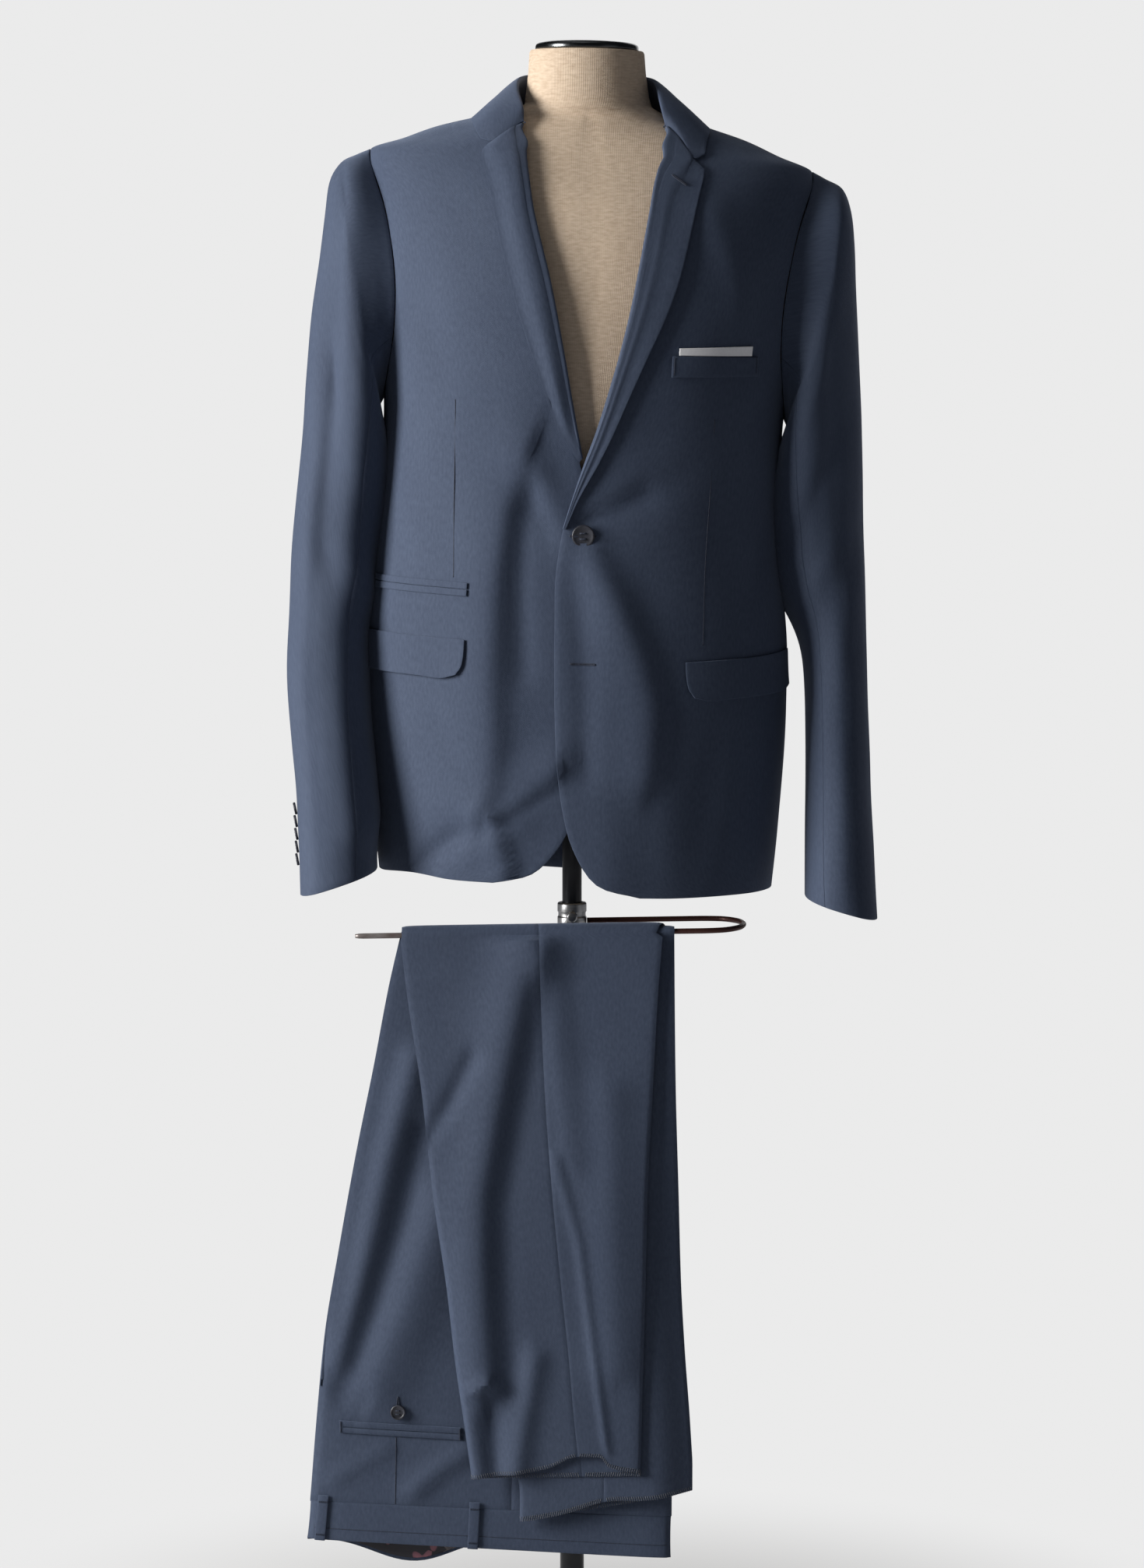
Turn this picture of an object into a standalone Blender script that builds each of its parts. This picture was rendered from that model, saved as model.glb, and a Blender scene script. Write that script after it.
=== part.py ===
"""Two-piece suit on a linen dress form: jacket, folded trousers and stand, in metres.

Floor at z = 0, front toward -Y, +X to the viewer's right.  The jacket is worked out upright and
even, then settled: it leans a little and its wearer's left side hangs lower.
"""
import math

import bpy
import numpy as np

# ------------------------------------------------------------------ driving sizes
SEAM = 0.0003            # air left at each seam edge
JACKET_WALL = 0.0016
TROUSER_WALL = 0.0010
COLLAR_WALL = 0.0014
GORGE_GAP = 0.0009        # air between the collar's edge and the lapel at the gorge seam

BASE_RADIUS = 0.180
BASE_HEIGHT = 0.012
TUBE_RADIUS = 0.0112
ROD_RADIUS = 0.0090
CLAMP_RADIUS = 0.0135
CLAMP_LOW = 0.738
CLAMP_HIGH = 0.760
ROD_TOP = 0.8618
BAR_Y = -0.085
BAR_Z = 0.7425
BAR_RADIUS = 0.0025
BAR_SLOPE = 0.0154       # the trouser bar sags toward its free end
BAR_LEFT = -0.197
BAR_RIGHT = 0.160

# Jacket rings: z, half width, front depth, back depth, squareness
RINGS = [
    (0.770, 0.1800, 0.127, 0.128, 2.30),
    (0.840, 0.1870, 0.129, 0.127, 2.30),
    (0.950, 0.1940, 0.130, 0.119, 2.30),
    (1.000, 0.1945, 0.130, 0.112, 2.30),
    (1.060, 0.1900, 0.130, 0.105, 2.30),
    (1.100, 0.1855, 0.131, 0.103, 2.30),
    (1.150, 0.1825, 0.133, 0.105, 2.30),
    (1.200, 0.1825, 0.137, 0.111, 2.30),
    (1.250, 0.1860, 0.140, 0.118, 2.30),
    (1.300, 0.1920, 0.138, 0.125, 2.30),
    (1.350, 0.1980, 0.131, 0.128, 2.30),
    (1.400, 0.2030, 0.115, 0.122, 2.20),
    (1.425, 0.2045, 0.100, 0.112, 2.20),
    (1.441, 0.2010, 0.088, 0.100, 2.10),
    (1.453, 0.1710, 0.079, 0.090, 2.10),
    (1.465, 0.1420, 0.070, 0.078, 2.05),
    (1.478, 0.0980, 0.058, 0.067, 2.00),
    (1.488, 0.0700, 0.050, 0.060, 2.00),
    (1.500, 0.0600, 0.046, 0.056, 2.00),
]
SHOULDER_Z = 1.441
NECK_Z = 1.485
BACK_NECK_Z = 1.4795

# Settling: z, shift to the viewer's right, drop per metre of x
SETTLE = [
    (0.780, 0.0030, 0.050),
    (1.050, 0.0040, 0.050),
    (1.200, 0.0100, 0.052),
    (1.400, 0.0180, 0.055),
    (1.470, 0.0170, 0.045),
    (1.500, 0.0140, 0.020),
    (1.560, 0.0135, 0.015),
]

# Soft folds of the jacket body: degrees, z, degrees, z, spread, height (minus for a trough)
FOLDS = [
    (-27, 1.160, -4, 1.108, 0.013, -0.0030),
    (-20, 1.200, -6, 1.135, 0.016, 0.0016),
    (30, 1.165, 6, 1.110, 0.015, -0.0022),
    (-6, 0.892, -27, 0.846, 0.012, -0.0032),
    (-27, 0.846, -46, 0.808, 0.013, -0.0026),
    (-10, 0.860, -30, 0.812, 0.014, 0.0026),
    (-24, 1.090, -24, 0.900, 0.020, 0.0020),
    (10, 1.060, 24, 0.830, 0.022, 0.0026),
    (40, 0.950, 34, 0.800, 0.016, -0.0022),
    (-50, 1.340, -40, 1.220, 0.020, -0.0024),
    (50, 1.340, 42, 1.220, 0.020, -0.0024),
    (-62, 1.120, -50, 1.060, 0.014, -0.0020),
    (62, 1.120, 52, 1.050, 0.014, -0.0020),
    (118, 1.330, 128, 1.130, 0.018, -0.0030),
    (-120, 1.320, -130, 1.110, 0.018, -0.0032),
    (150, 1.130, 178, 1.100, 0.016, -0.0024),
    (-140, 1.090, -170, 1.060, 0.014, -0.0022),
    (150, 1.400, 165, 1.270, 0.022, 0.0022),
    (-148, 1.400, -164, 1.280, 0.022, 0.0020),
    (140, 0.940, 150, 0.800, 0.018, 0.0028),
    (-152, 0.950, -142, 0.800, 0.018, 0.0028),
]

ARM_CELLS = 18
ARM_MID = 1.328
ARM_HIGH = 0.113
ARM_WIDE = 30.0
SIDE_CELLS = 16
HEM_CELLS = 8
BACK_CELLS = 9

# Front edge of each side: x toward the wearer's own side, z
CUTAWAY = {
    1: [(0.058, 0.7820), (0.036, 0.7822), (0.016, 0.7954), (0.001, 0.8158), (-0.0117, 0.8580),
        (-0.0165, 0.8960)],
    -1: [(0.074, 0.7895), (0.060, 0.7915), (0.044, 0.7964), (0.0276, 0.8094), (0.010, 0.8330),
         (-0.010, 0.8800)],
}
EDGE = {
    1: [(-0.0165, 0.8960), (-0.0189, 0.9460), (-0.0192, 1.0290), (-0.0185, 1.0840),
        (-0.0133, 1.1107)],
    -1: [(-0.010, 0.8800), (-0.0165, 0.9300), (-0.0180, 1.0290), (-0.0175, 1.0840),
         (-0.0150, 1.1107)],
}
ROLL = {
    1: [(-0.0133, 1.1107), (-0.0055, 1.1400), (0.0036, 1.1715), (0.0127, 1.2000),
        (0.0220, 1.2350), (0.0310, 1.2740), (0.0380, 1.3110), (0.0437, 1.3480),
        (0.0510, 1.3920), (0.0585, 1.4290), (0.0640, 1.4530), (0.0672, 1.4698)],
    -1: [(-0.0150, 1.1107), (-0.0085, 1.1400), (-0.0005, 1.1720), (0.0067, 1.2030),
         (0.0210, 1.2670), (0.0355, 1.3270), (0.0500, 1.3910), (0.0573, 1.4440),
         (0.0655, 1.4680)],
}
LAPEL_EDGE = {
    1: [(-0.0112, 1.1110), (-0.0027, 1.1340), (0.0153, 1.1714), (0.0281, 1.2013),
        (0.0391, 1.2300), (0.0520, 1.2629), (0.0650, 1.2956), (0.0760, 1.3286),
        (0.0846, 1.3657), (0.0939, 1.4072), (0.0998, 1.4342)],
    -1: [(0.0022, 1.1700), (0.0223, 1.1986), (0.0423, 1.2479), (0.0562, 1.2832),
         (0.0688, 1.3189), (0.0843, 1.3748), (0.0957, 1.4254), (0.0978, 1.4395)],
}
LAPEL_START = {1: 1.1110, -1: 1.1740}
NOTCH = {1: (0.0901, 1.4429), -1: (0.0866, 1.4495)}
COLLAR_TIP = {1: (0.1012, 1.4478), -1: (0.0988, 1.4523)}

# Hem of the body from front to back: degrees, z
HEM = {
    1: [(0, 0.7820), (20, 0.7820), (50, 0.7850), (75, 0.7860), (110, 0.7840), (150, 0.7780),
        (180, 0.7760)],
    -1: [(0, 0.7890), (20, 0.7895), (35, 0.7885), (50, 0.7905), (75, 0.7860), (110, 0.7840),
         (150, 0.7780), (180, 0.7760)],
}

# Collar from the notch (0) round to the centre back (6): roll x, roll y, roll z, leaf edge degrees
# and z on the body, stand foot degrees and z on the body
COLLAR = [
    (0, 0.0672, -0.0600, 1.4740, 36.0, 1.4530, 33.0, 1.4718),
    (1, 0.0655, -0.0480, 1.4880, 45.0, 1.4635, 53.0, 1.4805),
    (2, 0.0640, -0.0290, 1.5010, 62.0, 1.4715, 72.0, 1.4839),
    (3, 0.0615, -0.0010, 1.5120, 90.0, 1.4790, 90.0, 1.4862),
    (4, 0.0530, 0.0310, 1.5170, 125.0, 1.4755, 125.0, 1.4843),
    (5, 0.0310, 0.0545, 1.5205, 154.0, 1.4725, 152.0, 1.4822),
    (6, 0.0000, 0.0625, 1.5220, 180.0, 1.4712, 180.0, 1.4811),
]

# Sleeves: outer z, inner z, outer x, inner x, centre y, half depth
SLEEVES = {
    1: [
        (1.4360, 1.2060, 0.2150, 0.1905, 0.002, 0.0770),
        (1.4270, 1.1960, 0.2275, 0.1895, 0.003, 0.0800),
        (1.4080, 1.1820, 0.2350, 0.1885, 0.004, 0.0820),
        (1.3780, 1.1650, 0.2385, 0.1878, 0.005, 0.0830),
        (1.3400, 1.1450, 0.2412, 0.1872, 0.006, 0.0820),
        (1.2900, 1.1200, 0.2462, 0.1880, 0.007, 0.0800),
        (1.2350, 1.0950, 0.2520, 0.1900, 0.008, 0.0775),
        (1.1800, 1.0660, 0.2572, 0.1950, 0.007, 0.0750),
        (1.1250, 1.0350, 0.2614, 0.2020, 0.004, 0.0725),
        (1.0700, 1.0020, 0.2648, 0.2086, -0.002, 0.0700),
        (1.0150, 0.9680, 0.2664, 0.2110, -0.010, 0.0680),
        (0.9600, 0.9300, 0.2678, 0.2116, -0.020, 0.0655),
        (0.9050, 0.8900, 0.2704, 0.2114, -0.031, 0.0625),
        (0.8500, 0.8480, 0.2722, 0.2106, -0.042, 0.0595),
        (0.8050, 0.8130, 0.2738, 0.2102, -0.051, 0.0570),
        (0.7680, 0.7840, 0.2757, 0.2100, -0.058, 0.0550),
    ],
    -1: [
        (1.4360, 1.2060, 0.2155, 0.1905, 0.002, 0.0770),
        (1.4270, 1.1960, 0.2285, 0.1895, 0.003, 0.0800),
        (1.4080, 1.1820, 0.2375, 0.1885, 0.004, 0.0820),
        (1.3780, 1.1650, 0.2415, 0.1878, 0.005, 0.0830),
        (1.3400, 1.1450, 0.2455, 0.1872, 0.006, 0.0820),
        (1.2900, 1.1200, 0.2510, 0.1872, 0.007, 0.0800),
        (1.2350, 1.0950, 0.2534, 0.1888, 0.008, 0.0775),
        (1.1800, 1.0660, 0.2558, 0.1920, 0.006, 0.0750),
        (1.1250, 1.0350, 0.2586, 0.1955, 0.000, 0.0725),
        (1.0700, 1.0020, 0.2615, 0.1975, -0.008, 0.0700),
        (1.0150, 0.9680, 0.2634, 0.1975, -0.018, 0.0680),
        (0.9600, 0.9300, 0.2642, 0.1965, -0.028, 0.0655),
        (0.9050, 0.8900, 0.2602, 0.1930, -0.038, 0.0625),
        (0.8500, 0.8480, 0.2555, 0.1890, -0.048, 0.0595),
        (0.8050, 0.8200, 0.2520, 0.1850, -0.056, 0.0570),
        (0.7640, 0.7900, 0.2505, 0.1815, -0.063, 0.0550),
    ],
}
# Sleeve folds: turn, ring, turn, ring, spread in turns of 20 degrees, height
SLEEVE_FOLDS = {
    1: [
        (3.2, 2.0, 3.6, 6.5, 0.9, -0.0022),
        (1.4, 2.0, 1.8, 7.0, 1.0, 0.0016),
        (5.5, 7.2, 2.4, 9.0, 0.8, -0.0036),
        (6.0, 8.6, 3.0, 10.6, 0.8, -0.0030),
        (12.5, 7.5, 15.5, 9.2, 0.9, 0.0026),
        (13.5, 10.0, 16.0, 12.0, 0.9, -0.0024),
        (4.0, 12.0, 1.6, 13.4, 0.9, -0.0018),
    ],
    -1: [
        (2.2, 2.0, 3.4, 6.0, 0.7, -0.0052),
        (3.4, 6.0, 4.6, 9.0, 0.7, -0.0056),
        (1.2, 3.0, 1.9, 7.0, 0.9, 0.0020),
        (5.2, 9.4, 2.0, 10.8, 0.8, -0.0034),
        (5.6, 8.0, 3.0, 9.0, 0.8, 0.0022),
        (13.0, 7.8, 15.6, 9.4, 0.9, 0.0026),
        (13.2, 10.4, 16.2, 12.2, 0.9, -0.0026),
        (3.8, 12.4, 1.4, 13.8, 0.9, -0.0018),
    ],
}

# Cuff buttons of each sleeve: turn (20 degrees), height above the cuff
CUFF_BUTTONS = 5
CUFF_BUTTON_RADIUS = 0.0066
CUFF_BUTTON_STEP = 0.0116
CUFF_BUTTON_START = 0.032
CUFF_BUTTON_LIFT = 0.0011
CUFF_BUTTON_TURN = {1: 15.6, -1: 0.55}

# Trousers hung over the bar.  Front fall: drop below the bar, edges and seam of both legs
FRONT_FALL = [
    # drop, outer left, outer seam, outer right, inner left, inner seam, inner right
    (0.000, -0.1560, -0.0300, 0.0825, -0.1520, -0.0310, 0.0930),
    (0.060, -0.1490, -0.0285, 0.0780, -0.1430, -0.0290, 0.0935),
    (0.136, -0.1377, -0.0254, 0.0741, -0.1300, -0.0250, 0.0945),
    (0.240, -0.1265, -0.0180, 0.0690, -0.1080, -0.0140, 0.0975),
    (0.325, -0.1145, -0.0100, 0.0672, -0.0890, -0.0030, 0.1000),
    (0.396, -0.1066, -0.0030, 0.0654, -0.0730, 0.0080, 0.1040),
    (0.450, -0.0990, 0.0010, 0.0640, -0.0600, 0.0160, 0.1080),
    (0.498, -0.0925, 0.0050, 0.0628, -0.0480, 0.0250, 0.1110),
]
# Back fall: drop below the bar, left edge, side seam, right edge, opening of the hip tube
BACK_FALL = [
    (0.000, -0.1560, -0.0320, 0.0930, 0.000),
    (0.045, -0.1665, -0.0350, 0.0935, 0.000),
    (0.120, -0.1810, -0.0400, 0.0938, 0.000),
    (0.200, -0.1975, -0.0450, 0.0938, 0.000),
    (0.290, -0.2140, -0.0490, 0.0935, 0.002),
    (0.370, -0.2275, -0.0520, 0.0930, 0.006),
    (0.450, -0.2355, -0.0540, 0.0925, 0.011),
    (0.528, -0.2420, -0.0560, 0.0920, 0.016),
    (0.572, -0.2462, -0.0560, 0.0918, 0.018),
]
WAIST_DROP = 0.525
BAND_DROP = 0.561
WAIST_SKEW = 0.062
LOOPS = {"inner": (0.034, 0.455), "outer": (0.30, 0.70)}
HEM_DROP = {"inner": 0.527, "outer": 0.502}
CROTCH_DROP = 0.330
SEAT_DROP = 0.420

# Back pockets of the trousers: ends along x, drops of the jets' edges, button's x and drop
BACK_POCKET = (-0.2140, -0.1020)
BACK_POCKET_SLANT = 0.03
BACK_JETS = ((0.4562, 0.4612), (0.4500, 0.4556))
BACK_BUTTON = (-0.1600, 0.4385)
BACK_BUTTON_RADIUS = 0.0070

# Belt loops: drop and lift along the loop's path
LOOP_WIDE = 0.0096
LOOP_WALL = 0.0011
LOOP_PATH = (
    (WAIST_DROP - 0.006, 0.0004),
    (WAIST_DROP + 0.004, 0.0012),
    (BAND_DROP - 0.004, 0.0012),
    (BAND_DROP + 0.0005, 0.0002),
)

# Hip pocket flaps: top edge at the front and rear, depth, and how far each row hangs out
FLAP_FRONT = {1: 0.9965, -1: 1.0070}
FLAP_REAR = 1.0080
FLAP_DEEP = 0.0355
FLAP_HANG = (0.0022, 0.0014, 0.0008, 0.0004)

# Ticket pocket jets: node, lower edge, upper edge
TICKET_JETS = (
    ("ticket_pocket_lower_jet", 1.0460, 1.0518),
    ("ticket_pocket_upper_jet", 1.0524, 1.0580),
)
TICKET_RISE = 0.0006

# Breast pocket: low edge left and right, top edge left and right, x of both ends
WELT = (1.2494, 1.2543, 1.2682, 1.2712, 0.0755, 0.1525)
SQUARE = (1.2690, 1.2720, 1.2755, 1.2808, 0.0812, 0.1468)

# Front buttons: node, x, z, radius, lift off the cloth, side, height share
FRONT_BUTTONS = (
    ("front_button", 0.0044, 1.1054, 0.0102, 0.0009, 1, 1.0),
    ("lower_front_button", 0.0010, 0.9900, 0.0098, 0.0006, -1, 0.65),
)
CAP_Z = 1.5398

# ------------------------------------------------------------------ tables and curves


def through(table, col, at):
    """Smooth value of one column of a table whose first column runs up."""
    rows = np.asarray(table, float)
    xs = rows[:, 0]
    ys = rows[:, col]
    gap = np.diff(xs)
    slope = np.diff(ys) / gap
    lean = np.zeros(len(xs))
    lean[0] = slope[0]
    lean[-1] = slope[-1]
    for k in range(1, len(xs) - 1):
        if slope[k - 1] * slope[k] > 0:
            wa = 2 * gap[k] + gap[k - 1]
            wb = gap[k] + 2 * gap[k - 1]
            lean[k] = (wa + wb) / (wa / slope[k - 1] + wb / slope[k])
    at = np.clip(np.asarray(at, float), xs[0], xs[-1])
    k = np.clip(np.searchsorted(xs, at) - 1, 0, len(gap) - 1)
    t = (at - xs[k]) / gap[k]
    low = ys[k] * (1 + 2 * t) * (1 - t) ** 2 + ys[k + 1] * t * t * (3 - 2 * t)
    return low + gap[k] * (lean[k] * t * (1 - t) ** 2 - lean[k + 1] * t * t * (1 - t))


def trace(points, cells, scale=(1.0, 1.0)):
    """Even samples along a smooth curve through 2-D points."""
    pts = np.asarray(points, float)
    step = np.linalg.norm(np.diff(pts, axis=0) * np.asarray(scale), axis=1)
    along = np.concatenate([[0.0], np.cumsum(step)])
    fine = np.linspace(0.0, along[-1], 40 * cells + 1)
    if len(pts) > 2:
        both = [through(np.column_stack([along, pts[:, c]]), 1, fine) for c in range(2)]
    else:
        both = [np.interp(fine, along, pts[:, c]) for c in range(2)]
    curve = np.column_stack(both)
    step = np.linalg.norm(np.diff(curve, axis=0) * np.asarray(scale), axis=1)
    walk = np.concatenate([[0.0], np.cumsum(step)])
    even = np.linspace(0.0, walk[-1], cells + 1)
    return np.column_stack([np.interp(even, walk, curve[:, c]) for c in range(2)])


def joined(*curves):
    """Curves laid end to end, shared end points kept once."""
    parts = [curves[0]] + [c[1:] for c in curves[1:]]
    return np.concatenate(parts)


def filled(bottom, top, left, right):
    """Grid of 2-D points filling four boundary curves; rows run up, columns run across."""
    u = np.linspace(0.0, 1.0, len(bottom))[None, :, None]
    v = np.linspace(0.0, 1.0, len(left))[:, None, None]
    up = (1 - v) * bottom[None] + v * top[None]
    across = (1 - u) * left[:, None] + u * right[:, None]
    corners = (1 - v) * ((1 - u) * bottom[0] + u * bottom[-1])
    corners = corners + v * ((1 - u) * top[0] + u * top[-1])
    return up + across - corners


# ------------------------------------------------------------------ the jacket body as a surface


def ring(angle, z):
    """Point of the upright jacket body; the angle is 0 at centre front, 90 at the wearer's left."""
    wide = through(RINGS, 1, z)
    fore = through(RINGS, 2, z)
    aft = through(RINGS, 3, z)
    n = through(RINGS, 4, z)
    s = np.sin(angle)
    c = np.cos(angle)
    k = (np.abs(s) ** n + np.abs(c) ** n) ** (-1.0 / n)
    return np.stack([wide * s * k, -np.where(c > 0, fore, aft) * c * k, z], axis=-1)


def angle_at(x, z):
    """Angle on the front of the body at a given x and height."""
    x = np.asarray(x, float)
    n = through(RINGS, 4, z)
    q = np.clip(np.abs(x) / through(RINGS, 1, z), 0.0, 0.9995) ** n
    return np.sign(x) * np.arctan((q / (1 - q)) ** (1.0 / n))


def panel(bottom, top, left, right):
    """Panel pattern filled evenly on the body itself, so its cells keep their shape at the shoulder."""
    edges = [ring(c[:, 0], c[:, 1]) for c in (bottom, top, left, right)]
    g = filled(*edges)
    z = g[..., 2]
    fore = through(RINGS, 2, z)
    aft = through(RINGS, 3, z)
    deep = np.where(g[..., 1] < 0, fore, aft)
    angle = np.arctan2(g[..., 0] / through(RINGS, 1, z), -g[..., 1] / deep)
    out = np.stack([angle, z], axis=-1)
    out[0] = bottom
    out[-1] = top
    out[:, 0] = left
    out[:, -1] = right
    return out


def fold_height(angle, z):
    """Sum of the soft folds at a place on the body."""
    total = np.zeros(np.broadcast(angle, z).shape)
    reach = 0.15
    for a0, z0, a1, z1, spread, height in FOLDS:
        ua = math.radians(a0) * reach
        ub = math.radians(a1) * reach
        du = ub - ua
        dz = z1 - z0
        size = du * du + dz * dz
        t = np.clip(((angle * reach - ua) * du + (z - z0) * dz) / size, 0.0, 1.0)
        far = (angle * reach - ua - t * du) ** 2 + (z - z0 - t * dz) ** 2
        total = total + height * np.exp(-far / (spread * spread)) * (0.35 + 0.65 * np.sin(np.pi * t))
    return total


def settle(p):
    """Lean and drop of the whole jacket and form on the pole."""
    q = np.array(p, float)
    z = q[..., 2].copy()
    q[..., 2] = z - through(SETTLE, 2, z) * q[..., 0]
    q[..., 0] = q[..., 0] + through(SETTLE, 1, z)
    return q


def ease(t):
    t = np.clip(t, 0.0, 1.0)
    return t * t * (3 - 2 * t)


def lap(side, angle, z):
    """How far the overlapping fronts stand apart near the centre front."""
    x = ring(angle, z)[..., 0] * side
    near = 1 - ease((x - 0.022) / 0.05)
    low = 1 - ease((z - 1.19) / 0.08)
    over = 0.0012 + 0.0024 * ease((1.09 - z) / 0.07)
    return near * low * (over if side > 0 else -0.0019 * np.ones_like(z))


def body(angle, z, lift, side=0):
    """Point lifted off the jacket body along its outward normal, before settling."""
    angle = np.asarray(angle, float)
    z = np.asarray(z, float)
    turn = 0.012
    rise = 0.0015
    across = ring(angle + turn, z) - ring(angle - turn, z)
    upward = ring(angle, z + rise) - ring(angle, z - rise)
    out = np.cross(across, upward)
    out = out / np.linalg.norm(out, axis=-1, keepdims=True)
    high = lift + fold_height(angle, z)
    if side:
        high = high + lap(side, angle, z)
    return ring(angle, z) + out * high[..., None]


# ------------------------------------------------------------------ building solids


def material(name, colour, roughness=0.9, metallic=0.0):
    made = bpy.data.materials.new(name)
    made.use_nodes = True
    shader = made.node_tree.nodes["Principled BSDF"]
    shader.inputs["Base Color"].default_value = (*colour, 1.0)
    shader.inputs["Roughness"].default_value = roughness
    shader.inputs["Metallic"].default_value = metallic
    return made


def solid(name, points, faces, look):
    """Named object from points and faces, its faces turned outward."""
    points = np.asarray(points, float)
    middle = points.mean(axis=0)
    swept = 0.0
    for f in faces:
        for k in range(1, len(f) - 1):
            a, b, c = (points[f[n]] - middle for n in (0, k, k + 1))
            swept += float(np.dot(a, np.cross(b, c)))
    if swept < 0:
        faces = [tuple(reversed(f)) for f in faces]
    mesh = bpy.data.meshes.new(name)
    mesh.from_pydata([tuple(map(float, p)) for p in points], [], faces)
    mesh.validate()
    mesh.materials.append(look)
    made = bpy.data.objects.new(name, mesh)
    SUIT.objects.link(made)
    return made


def drawn_in(grid, amount, sides):
    """Boundary rows and columns of a grid pulled squarely inward by a small amount."""
    g = grid.copy()

    def pull(edge, inner):
        way = inner - edge
        run = np.gradient(edge, axis=0)
        run = run / np.linalg.norm(run, axis=-1, keepdims=True)
        way = way - run * np.sum(way * run, axis=-1, keepdims=True)
        return edge + way / np.linalg.norm(way, axis=-1, keepdims=True) * amount

    if "l" in sides:
        g[:, 0] = pull(grid[:, 0], grid[:, 1])
    if "r" in sides:
        g[:, -1] = pull(grid[:, -1], grid[:, -2])
    if "b" in sides:
        g[0] = g[0] + pull(grid[0], grid[1]) - grid[0]
    if "t" in sides:
        g[-1] = g[-1] + pull(grid[-1], grid[-2]) - grid[-1]
    return g


def slab(name, outer, inner, look, keep=None):
    """Closed wall between two matching grids of points, over the cells kept."""
    rows, cols = outer.shape[:2]
    count = rows * cols
    points = np.concatenate([outer.reshape(-1, 3), inner.reshape(-1, 3)])
    faces = []
    rim = {}
    for j in range(rows - 1):
        for i in range(cols - 1):
            if keep is not None and not keep[j, i]:
                continue
            a = j * cols + i
            b = a + 1
            c = b + cols
            d = a + cols
            if np.linalg.norm(points[a] - points[c]) <= np.linalg.norm(points[b] - points[d]):
                faces += [(a, b, c), (a, c, d)]
                faces += [(a + count, c + count, b + count), (a + count, d + count, c + count)]
            else:
                faces += [(a, b, d), (b, c, d)]
                faces += [(a + count, d + count, b + count), (b + count, d + count, c + count)]
            for p, q in ((a, b), (b, c), (c, d), (d, a)):
                if (q, p) in rim:
                    del rim[(q, p)]
                else:
                    rim[(p, q)] = True
    for p, q in rim:
        faces += [(q, p, p + count), (q, p + count, q + count)]
    used = sorted({k for f in faces for k in f})
    renew = {old: new for new, old in enumerate(used)}
    faces = [tuple(renew[k] for k in f) for f in faces]
    return solid(name, points[used], faces, look)


def lathe(name, profile, cells, look, place=None):
    """Closed solid of revolution about z from (radius, z) rows that start and end on the axis."""
    points = []
    starts = []
    for radius, z in profile:
        starts.append(len(points))
        if radius == 0.0:
            points.append((0.0, 0.0, z))
            continue
        for k in range(cells):
            turn = 2 * math.pi * k / cells
            points.append((radius * math.cos(turn), radius * math.sin(turn), z))
    faces = []
    for row in range(len(profile) - 1):
        a = starts[row]
        b = starts[row + 1]
        for k in range(cells):
            n = (k + 1) % cells
            if profile[row][0] == 0.0:
                faces.append((a, b + n, b + k))
            elif profile[row + 1][0] == 0.0:
                faces.append((a + k, a + n, b))
            else:
                faces.append((a + k, a + n, b + n, b + k))
    points = np.array(points)
    if place is not None:
        points = place(points)
    return solid(name, points, faces, look)


def frame_at(centre, out, up=(0.0, 0.0, 1.0)):
    """Placement that lays a lathe's axis along an outward direction."""
    w = np.asarray(out, float) / np.linalg.norm(out)
    u = np.cross(up, w)
    u = u / np.linalg.norm(u)
    v = np.cross(w, u)
    turn = np.stack([u, v, w])
    return lambda pts: np.asarray(centre) + pts @ turn


# ------------------------------------------------------------------ jacket panels


def arm_curve(first, last):
    """Armhole samples in angle and height; turn 0 is the shoulder, 90 degrees the front."""
    turn = np.radians(20.0 * np.arange(first, last + 1))
    angle = np.radians(90.0 - ARM_WIDE * np.sin(turn))
    return np.column_stack([angle, ARM_MID + ARM_HIGH * np.cos(turn)])


def side_seams(side):
    """Front and back side seams from the hem to the armhole."""
    fore = arm_curve(7, 7)[0]
    aft = arm_curve(11, 11)[0]
    hem = HEM[side]
    front = [(math.radians(80), through(hem, 1, 80)), (math.radians(79.5), 1.0),
             (math.radians(76), 1.15), tuple(fore)]
    back = [(math.radians(112), through(hem, 1, 112)), (math.radians(109), 1.0),
            (math.radians(108), 1.15), tuple(aft)]
    scale = (0.15, 1.0)
    return trace(front, SIDE_CELLS, scale), trace(back, SIDE_CELLS, scale)


def on_front(points):
    """Angle and height for (x, z) rows on the front of the body."""
    pts = np.asarray(points, float)
    return np.column_stack([angle_at(pts[:, 0], pts[:, 1]), pts[:, 1]])


def roll_inset(side):
    """The front's cut edge runs a little inside the lapel roll."""
    rows = []
    for x, z in ROLL[side]:
        rows.append((x + 0.0030 * float(ease((z - 1.115) / 0.06)), z))
    return rows


def hem_curve(side, start, stop, cells):
    """Hem samples between two angles in degrees."""
    deg = np.linspace(start, stop, cells + 1)
    return np.column_stack([np.radians(deg), through(HEM[side], 1, deg)])


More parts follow.
